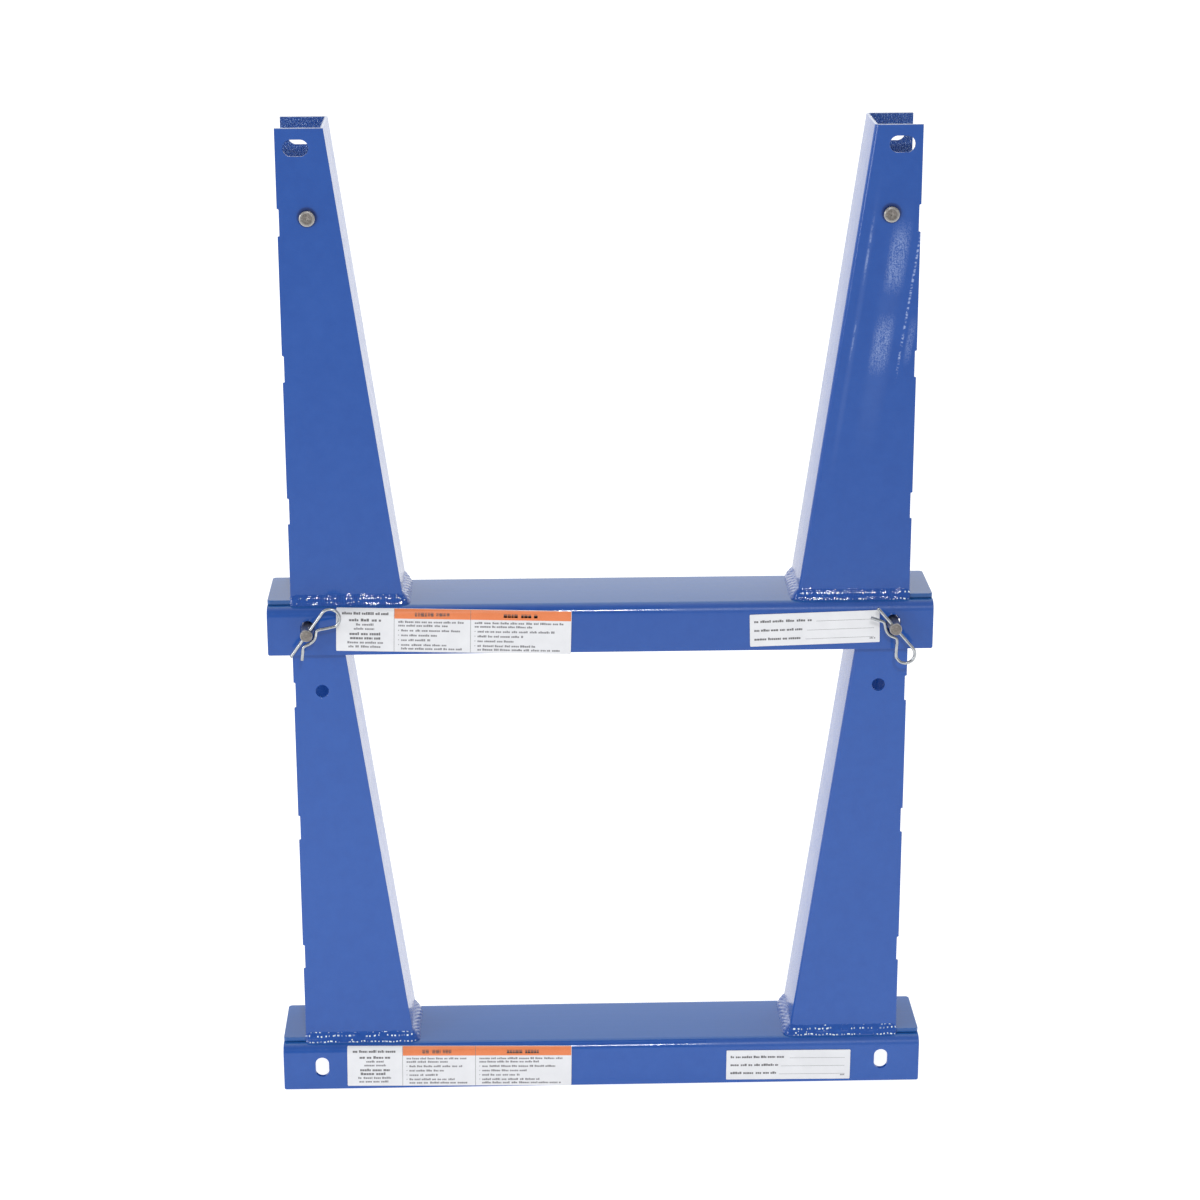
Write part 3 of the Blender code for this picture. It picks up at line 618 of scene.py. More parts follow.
def make_base(unit, z0):
    bm = bmesh.new()
    box_into(bm, -HALF_W, HALF_W, -HALF_D, HALF_D, 0.0, BASE_H)
    round_edges(bm, edges_where(bm, lambda a, b: abs(a.z) < 1e-6 and abs(b.z) < 1e-6
                                and abs(a.x - b.x) < 1e-6), BASE_CORNER_R, 6)
    round_edges(bm, edges_where(bm, lambda a, b: abs(a.z - BASE_H) < 1e-6
                                and abs(b.z - BASE_H) < 1e-6 and abs(a.y - b.y) < 1e-6),
                BASE_R, 20)
    body = finish_mesh(bm, unit + "_base_body")
    bm = bmesh.new()
    y = HALF_D - BASE_T
    box_into(bm, -HALF_W - 0.02, HALF_W + 0.02, -y, y, -0.02, UNDERSIDE)
    round_edges(bm, edges_where(bm, lambda a, b: abs(a.z - UNDERSIDE) < 1e-6
                                and abs(b.z - UNDERSIDE) < 1e-6 and abs(a.y - b.y) < 1e-6),
                BASE_R - BASE_T, 12)
    hollow = finish_mesh(bm, unit + "_base_hollow")
    bm = bmesh.new()
    r = BASE_SLOT_W / 2
    for s in (-1, 1):
        obround_into(bm, (s * (HALF_W - BASE_SLOT_X), 0, BASE_SLOT_Z),
                     BASE_SLOT_L / 2 - r, r, HALF_D * 2 + 0.04, along_x=False)
    slots = finish_mesh(bm, unit + "_base_slots")
    for me in (body, hollow, slots):
        me.transform(Matrix.Translation((0, 0, z0)))
    ob = carve(unit + "_base_coated", body, [hollow, slots], MAT[unit + "_base"], edge=0.0005)
    return place(ob, unit + "_rack", unit + "_base", slot=unit + "_base")


def tapered_block(side, x_out, half_y, z0, z1, inset, radius, segments):
    bm = bmesh.new()
    box_into(bm, 0.0, 1.0, -half_y, half_y, z0, z1)
    for v in bm.verts:
        inner = v.co.x < 0.5
        v.co.x = side * (web_x(v.co.z, inset) if inner else x_out)
    edge = edges_where(bm, lambda a, b: abs(a.y - b.y) < 1e-6 and abs(a.z - b.z) > 1e-3
                       and abs(abs(a.x) - web_x(a.z, inset)) < 1e-5
                       and abs(abs(b.x) - web_x(b.z, inset)) < 1e-5)
    round_edges(bm, edge, radius, segments)
    return finish_mesh(bm, "block")


def make_upright(unit, word, side, z0):
    x_out = UP_OUT_X
    body = tapered_block(side, x_out, UP_D / 2, FOOT_Z, UP_TOP, 0.0, UP_R, 14)
    across = UP_T * math.sqrt(1 + WEB_SLOPE ** 2)
    hollow = tapered_block(side, x_out + 0.03, UP_D / 2 - UP_T, FOOT_Z - 0.01, UP_TOP + 0.01,
                           across, UP_R - UP_T, 8)
    bm = bmesh.new()
    for drop in NOTCH_DROPS:
        top = UP_TOP - drop
        a, b = side * (x_out - NOTCH_DEPTH), side * (x_out + 0.02)
        box_into(bm, min(a, b), max(a, b), -UP_D, UP_D, top - NOTCH_H, top)
    notch_edges = edges_where(bm, lambda p, q: abs(p.y - q.y) > 1e-3
                              and abs(abs(p.x) - (x_out - NOTCH_DEPTH)) < 1e-6)
    round_edges(bm, notch_edges, 0.0011, 4)
    notches = finish_mesh(bm, "notches")
    bm = bmesh.new()
    r = UP_SLOT_H / 2
    obround_into(bm, (side * (x_out - UP_SLOT_X), 0, UP_TOP - UP_SLOT_DROP),
                 UP_SLOT_W / 2 - r, r, UP_D + 0.04, along_x=True)
    obround_into(bm, (side * (x_out - STOW_X), 0, UP_TOP - STOW_DROP),
                 0.0, STOW_D / 2, UP_D + 0.04, along_x=True)
    holes = finish_mesh(bm, "holes")
    for me in (body, hollow, notches, holes):
        me.transform(Matrix.Translation((0, 0, z0)))
    name = f"{unit}_upright_{word}"
    mat = MAT.get(f"{unit}_{word}_channel", MAT[unit + "_channel"])
    ob = carve(name + "_coated", body, [hollow, notches, holes], mat, edge=0.00045)
    return place(ob, unit + "_rack", name, slot=name)


def make_plate(unit, word, side, z0):
    bm = bmesh.new()
    a, b = side * PLATE_X0, side * HALF_W
    box_into(bm, min(a, b), max(a, b), -UP_D / 2, UP_D / 2, PLATE_TOP - PLATE_T, PLATE_TOP)
    round_edges(bm, edges_where(bm, lambda p, q: abs(p.z - q.z) > 1e-4
                                and abs(abs(p.x) - HALF_W) < 1e-6), PLATE_CORNER_R, 10)
    body = finish_mesh(bm, "plate")
    body.transform(Matrix.Translation((0, 0, z0)))
    name = f"{unit}_foot_plate_{word}"
    ob = carve(name + "_coated", body, [], MAT[unit + "_base"], edge=0.0007, segments=3)
    return place(ob, unit + "_rack", name, slot=name)


def make_weld(unit, word, side, z0, seed):
    """One continuous fillet round three sides of the foot, laid as a string of
    overlapping puddles."""
    half = UP_D / 2
    x_foot = UP_OUT_X - UP_W_BOTTOM
    step = 0.00055
    r = UP_R
    stations = []          # point, normal, leg, rise

    def run(p0, p1, n, leg0, leg1):
        length = (Vector(p1) - Vector(p0)).length
        k = max(2, int(length / step))
        for i in range(k):
            t = i / k
            stations.append((Vector(p0).lerp(Vector(p1), t), Vector(n), leg0 + (leg1 - leg0) * t))

    def corner(centre, a0, a1, leg0, leg1):
        k = max(4, int(abs(a1 - a0) * (r + 0.003) / step))
        for i in range(k):
            t = i / k
            a = a0 + (a1 - a0) * t
            n = Vector((math.cos(a), math.sin(a)))
            stations.append((Vector(centre) + n * r, n, leg0 + (leg1 - leg0) * t))

    fl, wl = FLANGE_WELD_LEG, WELD_LEG
    # worked for the right-hand upright, whose web faces -X, then mirrored
    run((UP_OUT_X + 0.0005, -half), (x_foot + r, -half), (0, -1), fl, fl)
    corner((x_foot + r, -half + r), -math.pi / 2, -math.pi, fl, wl)
    run((x_foot, -half + r), (x_foot, half - r), (-1, 0), wl, wl)
    corner((x_foot + r, half - r), -math.pi, -1.5 * math.pi, wl, fl)
    run((x_foot + r, half), (UP_OUT_X + 0.0005, half), (0, 1), fl, fl)

    total = len(stations)
    m = 29
    rows = []
    s = 0.0
    prev = None
    for i, (p, n, leg) in enumerate(stations):
        if prev is not None:
            s += (p - prev).length + 0.3 * step * abs(n.x * n.y)
        prev = p
        end = min(i, total - 1 - i) * step
        taper = min(1.0, 0.45 + 0.55 * math.sqrt(min(end / 0.006, 1.0)))
        web = abs(n.x)
        wob = noise.noise(Vector((s * 140.0, seed, 0.0)))
        wob2 = noise.noise(Vector((s * 150.0, seed + 9.3, 4.0)))
        slow = noise.noise(Vector((s * 38.0, seed + 4.1, 7.0)))
        reach = leg * taper * (1.0 + 0.10 * wob + 0.09 * slow)
        rise = WELD_RISE * taper * (1.0 + 0.11 * wob2 + 0.10 * slow - 0.06 * (1 - web))
        if web > 0.5:
            reach = min(reach, WELD_LEG * 1.12)
        row = []
        lean = -WEB_SLOPE * web
        for j in range(m):
            k = j / (m - 1)
            top_z = FOOT_Z + rise
            tip = p + n * reach
            floor_z = base_top_z(tip.y) - 0.0002
            off = (-0.0006 + lean * rise) * (1 - k) + reach * k
            z = top_z + (floor_z - top_z) * k
            fat = math.sin(math.pi * k)
            # the front bead is two low passes, one above the other, faintly rippled
            drift_s = noise.noise(Vector((s * 60.0, seed + 2.2, 1.0)))
            ripple = math.sin(2 * math.pi * (s / 0.0026 + 0.5 * fat + 0.7 * drift_s))
            two = abs(math.sin(2 * math.pi * (k - 0.22 + 0.05 * drift_s)))
            front = 0.00012 * fat + 0.00030 * two * min(1.0, 5 * k, 9 * (1 - k))
            front += 0.00006 * ripple * (0.45 + 0.55 * fat)
            front += 0.00020 * noise.noise(Vector((s * 105.0, k * 1.6, seed))) * (0.3 + fat)
            front += 0.00002 * noise.noise(Vector((s * 430.0, k * 6.0, seed + 2.0)))
            # the web bead is woven: leaning strands with a sharp line between them
            turn = p.y / STRAND_PITCH - STRAND_LEAN * k
            inner = 0.00095 * fat + 0.00042 * abs(math.sin(math.pi * turn)) * (0.35 + 0.65 * fat)
            inner += 0.00030 * noise.noise(Vector((s * 95.0, k * 2.2, seed + 5.0)))
            swell = front + (inner - front) * min(max((web - 0.35) / 0.5, 0.0), 1.0)
            # outward in the section plane
            run_out, drop = reach, top_z - floor_z
            q = math.hypot(run_out, drop)
            off += swell * drop / q
            z += swell * run_out / q
            pt = p + n * off
            row.append(Vector((side * pt.x, pt.y, z + z0)))
        # close the section inside the steel
        pt = p + n * (-0.0014)
        row.append(Vector((side * pt.x, pt.y, base_top_z(p.y) - 0.0012 + z0)))
        rows.append(row)
    bm = bmesh.new()
    vs = [[bm.verts.new(c) for c in row] for row in rows]
    cnt = m + 1
    for a, b in zip(vs, vs[1:]):
        for i in range(cnt):
            j = (i + 1) % cnt
            bm.faces.new((a[i], a[j], b[j], b[i]))
    bm.faces.new(vs[0][::-1])
    bm.faces.new(vs[-1])
    me = finish_mesh(bm, f"{unit}_weld_{word}_bead")
    me.shade_smooth()
    ob = link(bpy.data.objects.new(f"{unit}_weld_{word}_bead", me))
    me.materials.append(MAT[unit + "_weld"])
    base = f"{unit}_weld_{word}_"
    return place(ob, unit + "_rack", base + "front", base + "inner", base + "back",
                 slot=base + "front")


# ---------------------------------------------------------------- pins and clips
def make_pin(name, body, at, head_to, angle):
    r, hr = PIN_D / 2, HEAD_D / 2
    t = HEAD_T
    prof = [(0.0, t - 0.0009), (0.0007, t - 0.00085), (0.0015, t - 0.0003), (0.0020, t - 0.00004),
            (0.0026, t), (0.0044, t - 0.00005), (0.0058, t - 0.0001)]
    cham = 0.00125
    prof += [(hr - cham - 0.0003, t - 0.0001), (hr - cham, t - 0.00016),
             (hr - cham * 0.55, t - 0.00048), (hr - cham * 0.2, t - 0.00098),
             (hr - 0.00004, t - 0.0016), (hr, t - 0.0020),
             (hr, 0.0006), (hr - 0.0002, 0.0002), (hr - 0.0006, 0.0),
             (r + 0.0006, 0.0), (r + 0.0002, -0.0001), (r, -0.0005)]
    for k in range(1, 24):
        prof.append((r, -0.0005 - (PIN_L - 0.0022) * k / 24))
    prof += [(r, -PIN_L + 0.0013), (r - 0.00015, -PIN_L + 0.0010), (r - 0.0009, -PIN_L + 0.00012),
             (r - 0.0012, -PIN_L), (r * 0.6, -PIN_L + 0.00004), (r * 0.25, -PIN_L + 0.00008),
             (0.0, -PIN_L + 0.0001)]
    n = 72
    bm = bmesh.new()
    lay = Matrix.Rotation(-math.pi / 2 * head_to, 4, 'X')
    rings = []
    for x, z in prof:
        if x == 0.0:
            rings.append([bm.verts.new(lay @ Vector((0, 0, z)))])
        else:
            rings.append([bm.verts.new(lay @ Vector((x * math.cos(2 * math.pi * i / n),
                                                     x * math.sin(2 * math.pi * i / n), z)))
                          for i in range(n)])
    for a, b in zip(rings, rings[1:]):
        for i in range(n):
            j = (i + 1) % n
            if len(a) == 1:
                bm.faces.new((a[0], b[i], b[j]))
            elif len(b) == 1:
                bm.faces.new((a[i], b[0], a[j]))
            else:
                bm.faces.new((a[i], b[i], b[j], a[j]))
    body_me = finish_mesh(bm, name)
    bm = bmesh.new()
    along = Vector((math.cos(angle), 0, math.sin(angle)))
    turn = Vector((0, 0, 1)).rotation_difference(along).to_matrix().to_4x4()
    y = -head_to * (PIN_L - PIN_HOLE_FROM_END)
    bmesh.ops.create_cone(bm, cap_ends=True, segments=40, radius1=PIN_HOLE_D / 2,
                          radius2=PIN_HOLE_D / 2, depth=PIN_D * 2,
                          matrix=Matrix.Translation((0, y, 0)) @ turn)
    hole = finish_mesh(bm, name + "_hole")
    ob = link(bpy.data.objects.new(name + "_turned", body_me))
    cutter = link(bpy.data.objects.new(name + "_drill", hole))
    m = ob.modifiers.new("drill", 'BOOLEAN')
    m.operation, m.solver, m.object = 'DIFFERENCE', 'EXACT', cutter
    bpy.context.view_layer.update()
    dg = bpy.context.evaluated_depsgraph_get()
    me = bpy.data.meshes.new_from_object(ob.evaluated_get(dg))
    ob.modifiers.clear()
    ob.data = me
    bpy.data.objects.remove(cutter)
    me.shade_smooth()
    me.set_sharp_from_angle(angle=math.radians(40))
    me.materials.clear()
    me.materials.append(MAT["pin"])
    ob.location = at
    return place(ob, body, name, slot=name)


def clip_path():
    pts = [(-CLIP_FREE, 0.0), (-CLIP_FREE * 0.5, 0.0), (0.0, 0.0), (LOOP_U * 0.5, 0.0),
           (LOOP_U * 0.85, 0.0)]
    n = 11
    start, stop = math.radians(-90), math.radians(118)
    for i in range(n + 1):
        a = start + (stop - start) * i / n
        pts.append((LOOP_U + LOOP_R * math.cos(a), LOOP_R + LOOP_R * math.sin(a)))
    hug = PIN_D / 2 + WIRE_D / 2 + 0.055 * IN
    waist, tail = 0.235 * IN, 0.200 * IN
    keys = [(0.66 * IN, 0.475 * IN), (0.50 * IN, 0.320 * IN), (0.38 * IN, waist + 0.012 * IN),
            (0.29 * IN, waist + 0.030 * IN), (0.17 * IN, hug * 0.89), (0.03 * IN, hug),
            (-0.11 * IN, hug * 0.97), (-0.25 * IN, hug * 0.84), (-0.38 * IN, tail + 0.035 * IN),
            (-0.48 * IN, tail - 0.004 * IN), (-0.57 * IN, tail + 0.010 * IN),
            (-0.68 * IN, tail + 0.075 * IN), (-0.84 * IN, tail + 0.165 * IN),
            (-1.00 * IN, tail + 0.255 * IN)]
    return pts + keys


def smooth_path(pts, per=7):
    out = []
    ext = [2 * pts[0] - pts[1]] + list(pts) + [2 * pts[-1] - pts[-2]]
    for i in range(1, len(ext) - 2):
        p0, p1, p2, p3 = ext[i - 1:i + 3]
        for k in range(per):
            t = k / per
            out.append(0.5 * ((2 * p1) + (p2 - p0) * t + (2 * p0 - 5 * p1 + 4 * p2 - p3) * t * t
                              + (3 * p1 - p0 - 3 * p2 + p3) * t ** 3))
    out.append(pts[-1])
    return out


def make_clip(name, body, at, angle, side):
    u = Vector((math.cos(angle), 0, math.sin(angle)))
    v = Vector((math.sin(angle), 0, -math.cos(angle))) * side
    path = smooth_path([u * a + v * b for a, b in clip_path()])
    up = Vector((0, 1, 0))
    n = 20
    r = WIRE_D / 2
    rows = []
    count = len(path)
    ends = {0: 0.62, 1: 0.93, count - 2: 0.93, count - 1: 0.62}
    # short run-in so the sheared ends have a small chamfer
    head = path[0] + (path[1] - path[0]).normalized() * 0.00035
    tail = path[-1] + (path[-2] - path[-1]).normalized() * 0.00035
    path = [path[0], head] + path[1:-1] + [tail, path[-1]]
    count = len(path)
    bm = bmesh.new()
    for i, p in enumerate(path):
        a = path[max(i - 1, 0)]
        b = path[min(i + 1, count - 1)]
        t = (b - a).normalized()
        s = t.cross(up).normalized()
        k = 0.74 if i in (0, count - 1) else 1.0
        rows.append([bm.verts.new(p + (s * math.cos(2 * math.pi * j / n)
                                       + up * math.sin(2 * math.pi * j / n)) * r * k)
                     for j in range(n)])
    for a, b in zip(rows, rows[1:]):
        for i in range(n):
            j = (i + 1) % n
            bm.faces.new((a[i], a[j], b[j], b[i]))
    bm.faces.new(rows[0][::-1])
    bm.faces.new(rows[-1])
    me = finish_mesh(bm, name + "_wire")
    me.shade_smooth()
    me.set_sharp_from_angle(angle=math.radians(50))
    me.materials.append(MAT["wire"])
    ob = link(bpy.data.objects.new(name + "_wire", me))
    ob.location = at
    return place(ob, body, name, slot=name)


# ---------------------------------------------------------------- labels
LABEL_OFF = 0.00036
LABEL_T = 0.00025


def surface_point(s, t, lift, z0):
    flat = BASE_H - BASE_R
    off = LABEL_OFF + LABEL_T + lift
    if t <= flat:
        return Vector((s, -HALF_D - off, t + z0))
    a = (t - flat) / BASE_R
    r = BASE_R + off
    return Vector((s, -HALF_D + BASE_R - r * math.cos(a), flat + r * math.sin(a) + z0))


class Label:
    def __init__(self, node, unit, x0, t0, size, tilt, z0):
        self.node, self.unit, self.z0 = node, unit, z0
        self.x0, self.t0, self.w, self.h, self.tilt = x0, t0, size[0], size[1], tilt
        self.prints = {}
        self.make_paper()

    def at(self, a, b, lift):
        c, sn = math.cos(self.tilt), math.sin(self.tilt)
        return surface_point(self.x0 + a * c - b * sn, self.t0 + a * sn + b * c, lift, self.z0)

    def make_paper(self):
        """Paper with square-cut corners, laid over the flange and its bend."""
        cols, rows_n = 60, 36
        rc = 0.0004
        bm = bmesh.new()
        grid = []
        for j in range(rows_n + 1):
            b = self.h * j / rows_n
            inset = 0.0
            d = min(b, self.h - b)
            if d < rc:
                inset = rc - math.sqrt(max(rc * rc - (rc - d) ** 2, 0.0))
            row = []
            for i in range(cols + 1):
                a = inset + (self.w - 2 * inset) * i / cols
                wave = 0.00003 * noise.noise(Vector((a * 60, b * 90, self.x0 * 7)))
                row.append(bm.verts.new(self.at(a, b, wave)))
            grid.append(row)
        for j in range(rows_n):
            for i in range(cols):
                bm.faces.new((grid[j][i], grid[j][i + 1], grid[j + 1][i + 1], grid[j + 1][i]))
        me = bpy.data.meshes.new(self.node + "_paper")
        bmesh.ops.recalc_face_normals(bm, faces=bm.faces[:])
        bm.to_mesh(me)
        bm.free()
        ob = link(bpy.data.objects.new(self.node + "_paper", me))
        # normals must face out of the base before the sheet is given thickness
        if me.polygons[0].normal.y > 0:
            me.flip_normals()
        sol = ob.modifiers.new("sheet", 'SOLIDIFY')
        sol.thickness = LABEL_T * 0.9
        sol.offset = -1.0
        bpy.context.view_layer.update()
        dg = bpy.context.evaluated_depsgraph_get()
        me2 = bpy.data.meshes.new_from_object(ob.evaluated_get(dg))
        ob.modifiers.clear()
        ob.data = me2
        me2.shade_smooth()
        me2.set_sharp_from_angle(angle=math.radians(50))
        me2.materials.clear()
        me2.materials.append(MAT["vinyl"])
        place(ob, self.unit + "_rack", self.node, slot=self.node)

    def patch(self, kind, a0, a1, b0, b1, lift=0.00005):
        self.prints.setdefault(kind, []).append((a0, a1, b0, b1, lift))

    def words(self, kind, a0, a1, b, height, rng, fill=1.0, centre=False, bold=False):
        """A line of greeked text: blocks of uneven width, never letters."""
        span = (a1 - a0) * fill
        start = a0 + ((a1 - a0) - span) / 2 if centre else a0
        x = start
        end = start + span
        while x < end - height * 0.7:
            w = min(rng.uniform(1.5, 5.0) * height, end - x)
            # each block is a run of stubby marks, some a little taller
            q = x
            while q < x + w - height * 0.25:
                bw = height * rng.uniform(0.55, 0.95)
                tall = height * (0.96 if bold else rng.choice((0.74, 0.74, 0.80, 1.0)))
                self.patch(kind, q, min(q + bw, x + w), b, b + tall)
                q += bw + height * 0.13
            x += w + height * rng.uniform(0.50, 0.70)

    def build_prints(self):
        for kind, rects in self.prints.items():
            bm = bmesh.new()
            for a0, a1, b0, b1, lift in rects:
                na = max(1, int(math.ceil((a1 - a0) / 0.010)))
                nb = max(1, int(math.ceil((b1 - b0) / 0.0012)))
                # each mark is a closed film, keyed into the paper below it
                top, low = [[[bm.verts.new(self.at(a0 + (a1 - a0) * i / na,
                                                   b0 + (b1 - b0) * j / nb, level))
                              for i in range(na + 1)] for j in range(nb + 1)]
                            for level in (lift, lift - 0.00012)]
                for j in range(nb):
                    for i in range(na):
                        bm.faces.new((top[j][i], top[j][i + 1], top[j + 1][i + 1],
                                      top[j + 1][i]))
                        bm.faces.new((low[j][i], low[j + 1][i], low[j + 1][i + 1],
                                      low[j][i + 1]))
                rim = ([(0, i) for i in range(na)] + [(j, na) for j in range(nb)]
                       + [(nb, i) for i in range(na, 0, -1)] + [(j, 0) for j in range(nb, 0, -1)])
                for (j0, i0), (j1, i1) in zip(rim, rim[1:] + rim[:1]):
                    bm.faces.new((top[j0][i0], low[j0][i0], low[j1][i1], top[j1][i1]))
            me = finish_mesh(bm, f"{self.node}_{kind}")
            me.materials.append(MAT[kind])
            ob = link(bpy.data.objects.new(f"{self.node}_{kind}", me))
            place(ob, self.unit + "_rack", slot=self.node)


def long_label(unit, x0, t0, tilt, z0, seed):
    w, h = 9.5 * IN, 1.82 * IN
    lb = Label(unit + "_load_label", unit, x0, t0, (w, h), tilt, z0)
    rng = random.Random(seed)
    c1, c2 = w * 0.246, w * 0.571
    band = h * 0.772
    lb.patch("orange_ink", c1 + 0.0003, c2 - 0.0002, band, h - 0.0004)
    lb.patch("orange_ink", c2 + 0.0002, w - 0.0004, band, h - 0.0004)
    for c in (c1, c2):
        lb.patch("grey_ink", c - 0.00018, c + 0.00018, 0.0004, h - 0.0004, 0.00008)
    # header bars
    for a, b in ((c1, c2), (c2, w)):
        mid = (a + b) / 2
        lb.words("black_ink", mid - 0.0180, mid + 0.0180, band + h * 0.055, 0.0040, rng, bold=True)
    # first column: centred short lines
    y = h * 0.845
    for kind, hgt, fill, drop in (("grey_ink", 0.0026, 0.86, 0.150), ("grey_ink", 0.0030, 0.60, 0.098),
                                  ("pale_ink", 0.0024, 0.34, 0.098), ("pale_ink", 0.0024, 0.42, 0.125),
                                  ("grey_ink", 0.0030, 0.58, 0.098), ("grey_ink", 0.0030, 0.56, 0.098),
                                  ("pale_ink", 0.0024, 0.66, 0.095), ("pale_ink", 0.0024, 0.62, 0.10)):
        lb.words(kind, 0.002, c1 - 0.002, y, hgt, rng, fill=fill, centre=True)
        y -= h * drop
    # second and third columns: two lines of text, then four short points
    for a, b in ((c1, c2), (c2, w)):
        a0, a1 = a + 0.0042, b - 0.0035
        lb.words("pale_ink", a0, a1, h * 0.675, 0.0023, rng, fill=rng.uniform(0.93, 0.99))
        lb.words("pale_ink", a0, a1, h * 0.590, 0.0023, rng, fill=rng.uniform(0.60, 0.76))
        for k, f in enumerate((0.86, 0.52, 0.44, 0.66)):
            y = h * (0.475 - 0.112 * k)
            lb.patch("grey_ink", a0, a0 + 0.0008, y + 0.0008, y + 0.0016)
            lb.words("pale_ink", a0 + 0.0030, a1, y, 0.0023, rng, fill=f * rng.uniform(0.95, 1.1))
        lb.words("pale_ink", a0 + 0.0030, a1, h * 0.052, 0.0023, rng, fill=0.92)
    lb.build_prints()


def rating_label(unit, x0, t0, tilt, z0, seed):
    w, h = 5.28 * IN, 1.36 * IN
    lb = Label(unit + "_rating_label", unit, x0, t0, (w, h), tilt, z0)
    rng = random.Random(seed)
    for k, f in enumerate((0.455, 0.385, 0.37)):
        y = h * (0.735 - 0.275 * k)
        a1 = 0.0045 + w * f
        lb.words("grey_ink", 0.0045, a1, y, 0.0027, rng)
        lb.patch("grey_ink", a1 + 0.003, w - 0.0058, y - 0.0003, y - 0.00002)
    lb.words("pale_ink", w - 0.0105, w - 0.0045, h * 0.115, 0.0017, rng)
    lb.build_prints()


# ---------------------------------------------------------------- build it
for unit, z0 in (("lower", lo_b.z), ("upper", lo_u.z)):
    make_base(unit, z0)
    for k, (word, side) in enumerate((("left", -1), ("right", 1))):
        make_upright(unit, word, side, z0)
        make_plate(unit, word, side, z0)
        make_weld(unit, word, side, z0, seed=3.7 + 11.3 * k + (5.9 if unit == "upper" else 0.0))

long_label("lower", -HALF_W + 2.68 * IN, 0.145 * IN, math.radians(-0.8), lo_b.z, 21)
long_label("upper", -HALF_W + 2.76 * IN, 0.200 * IN, math.radians(-1.6), lo_u.z, 22)
rating_label("lower", -HALF_W + 18.78 * IN, 0.163 * IN, math.radians(-0.45), lo_b.z, 31)
rating_label("upper", -HALF_W + 19.55 * IN, 0.165 * IN, math.radians(1.55), lo_u.z, 32)

ANGLES = {"left": math.radians(54.6), "right": math.radians(-49.5)}
for word, side in (("left", -1), ("right", 1)):
    lo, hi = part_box(f"lock_pin_{word}")
    at = Vector(((lo.x + hi.x) / 2, hi.y - HEAD_T, (lo.z + hi.z) / 2))
    make_pin(f"lock_pin_{word}", f"lock_pin_{word}", at, 1, ANGLES[word])
    clip_y = at.y - (PIN_L - PIN_HOLE_FROM_END)
    make_clip(f"lock_clip_{word}", f"lock_clip_{word}", (at.x, clip_y, at.z), ANGLES[word], 1)
    lo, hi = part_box(f"stowed_pin_{word}")
    at = Vector(((lo.x + hi.x) / 2, lo.y + HEAD_T, (lo.z + hi.z) / 2))
    make_pin(f"stowed_pin_{word}", f"stowed_pin_{word}", at, -1, math.radians(-90))
    clip_y = at.y + (PIN_L - PIN_HOLE_FROM_END)
    make_clip(f"stowed_clip_{word}", f"stowed_clip_{word}", (at.x, clip_y, at.z),
              math.radians(-90), side)


# ---------------------------------------------------------------- stage
def stage_floor():
    bm = bmesh.new()
    bmesh.ops.create_grid(bm, x_segments=2, y_segments=2, size=14.0)
    me = bpy.data.meshes.new("floor")
    bm.to_mesh(me)
    bm.free()
    ob = link(bpy.data.objects.new("floor", me))
    ob.location = (0, 0, -0.0006)
    g = Graph("pale_floor")
    tone = g.noise(3.0, 3.0, 0.5)
    g.set(color=g.ramp(tone, [(0.3, (0.36, 0.36, 0.36)), (0.7, (0.38, 0.38, 0.38))]),
          rough=0.9, spec=0.0)
    x, y, z = g.xyz()
    lit = g.remap(y, -3.0, -0.5, 0.34, 0.90, smooth=True)
    # what the paint reflects falls off towards the camera's side, but the floor
    # itself is seen plain and pale from everywhere
    seen = g.node("ShaderNodeLightPath").outputs["Is Camera Ray"]
    lit = g.math('MAXIMUM', lit, g.math('MULTIPLY', seen, 0.90))
    glow = g.node("ShaderNodeCombineXYZ")
    for i in range(3):
        g.plug(glow.inputs[i], lit)
    g.plug(g.bsdf.inputs["Emission Color"], glow.outputs[0])
    g.bsdf.inputs["Emission Strength"].default_value = 1.0
    me.materials.append(g.mat)
    return ob


stage_floor()

world = bpy.data.worlds.new("studio")
scene.world = world
world.use_nodes = True
wt = world.node_tree
bg = wt.nodes["Background"]
bg.inputs["Strength"].default_value = 1.0
# white walls all round, darker overhead
coord = wt.nodes.new("ShaderNodeTexCoord")
split = wt.nodes.new("ShaderNodeSeparateXYZ")
ramp = wt.nodes.new("ShaderNodeValToRGB")
wt.links.new(coord.outputs["Generated"], split.inputs[0])
wt.links.new(split.outputs["Z"], ramp.inputs[0])
wt.links.new(ramp.outputs["Color"], bg.inputs["Color"])
side = wt.nodes.new("ShaderNodeMapRange")
side.inputs["From Min"].default_value = -0.35
side.inputs["From Max"].default_value = 0.25
side.inputs["To Min"].default_value = 0.30
side.inputs["To Max"].default_value = 1.0
wt.links.new(split.outputs["Y"], side.inputs["Value"])
wt.links.new(side.outputs["Result"], bg.inputs["Strength"])
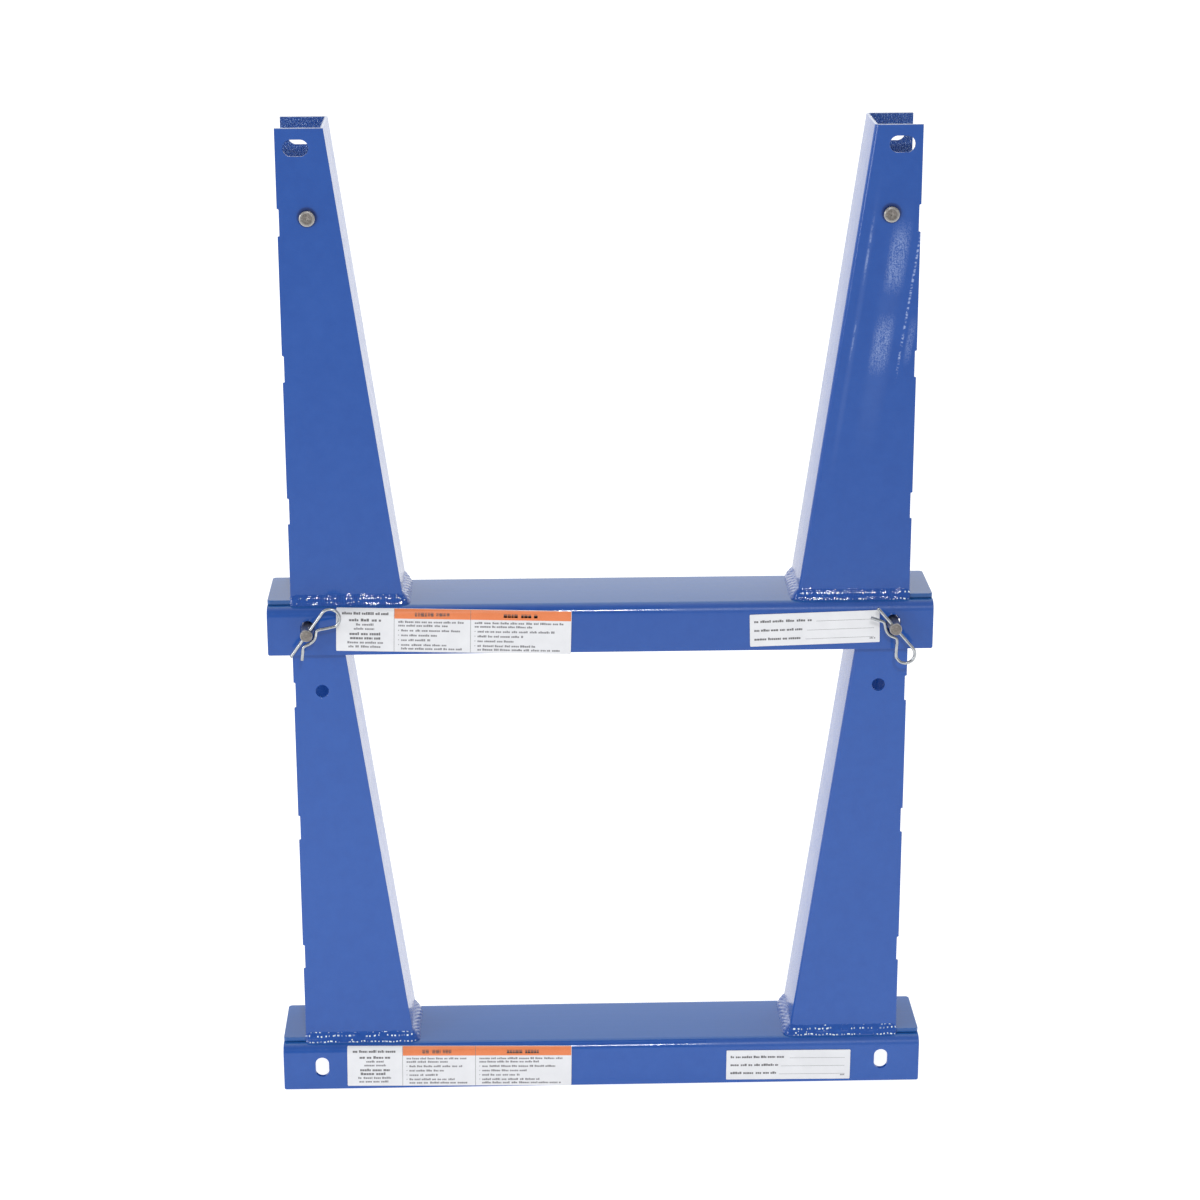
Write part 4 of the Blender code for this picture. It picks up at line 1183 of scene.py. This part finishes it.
# seen directly, the backdrop is plain white
plain = wt.nodes.new("ShaderNodeBackground")
plain.inputs["Color"].default_value = (1.0, 1.0, 1.0, 1.0)
plain.inputs["Strength"].default_value = 1.25
either = wt.nodes.new("ShaderNodeMixShader")
path = wt.nodes.new("ShaderNodeLightPath")
wt.links.new(path.outputs["Is Camera Ray"], either.inputs[0])
wt.links.new(bg.outputs[0], either.inputs[1])
wt.links.new(plain.outputs[0], either.inputs[2])
wt.links.new(either.outputs[0], wt.nodes["World Output"].inputs["Surface"])
stops = ((0.0, 1.32), (0.30, 1.27), (0.44, 1.08), (0.60, 1.25), (1.0, 1.50))
while len(ramp.color_ramp.elements) < len(stops):
    ramp.color_ramp.elements.new(0.5)
for e, (pos, v) in zip(ramp.color_ramp.elements, stops):
    e.position = pos
    e.color = (v, v, v, 1.0)


def area(name, at, to, size, power, size_y=None, color=(1, 1, 1)):
    data = bpy.data.lights.new(name, 'AREA')
    data.shape = 'RECTANGLE'
    data.size = size
    data.size_y = size_y or size
    data.energy = power
    data.color = color
    ob = link(bpy.data.objects.new(name, data))
    ob.location = at
    ob.rotation_euler = (Vector(to) - Vector(at)).to_track_quat('-Z', 'Y').to_euler()
    return ob


area("key", (0.135, -3.0, 2.29), (0.0, 0, 0.45), 0.19, 27, size_y=0.12)
area("fill", (-2.6, -2.2, 1.3), (0, 0, 0.5), 1.2, 25)


# ---------------------------------------------------------------- camera
CAM_AT = Vector((-3.344, -115.135, 57.610)) * IN
YAW, PITCH_DOWN, ROLL = 0.02913, 0.30762, 0.00231
FOCAL_PX = 2939.1

fwd = Vector((math.sin(YAW) * math.cos(PITCH_DOWN), math.cos(YAW) * math.cos(PITCH_DOWN),
              -math.sin(PITCH_DOWN)))
right = Vector((math.cos(YAW), -math.sin(YAW), 0.0))
down = fwd.cross(right)
c, s = math.cos(ROLL), math.sin(ROLL)
r2 = right * c + down * s
d2 = down * c - right * s
cam_data = bpy.data.cameras.new("camera")
cam_data.sensor_fit = 'HORIZONTAL'
cam_data.sensor_width = 36.0
cam_data.lens = FOCAL_PX / 1200.0 * 36.0
cam_data.clip_start = 0.05
cam_data.clip_end = 60.0
cam = link(bpy.data.objects.new("camera", cam_data))
cam.matrix_world = Matrix((
    (r2.x, -d2.x, -fwd.x, CAM_AT.x),
    (r2.y, -d2.y, -fwd.y, CAM_AT.y),
    (r2.z, -d2.z, -fwd.z, CAM_AT.z),
    (0, 0, 0, 1)))
scene.camera = cam

scene.view_settings.view_transform = 'Standard'
scene.view_settings.look = 'None'
scene.view_settings.exposure = 0.0

bpy.context.view_layer.update()
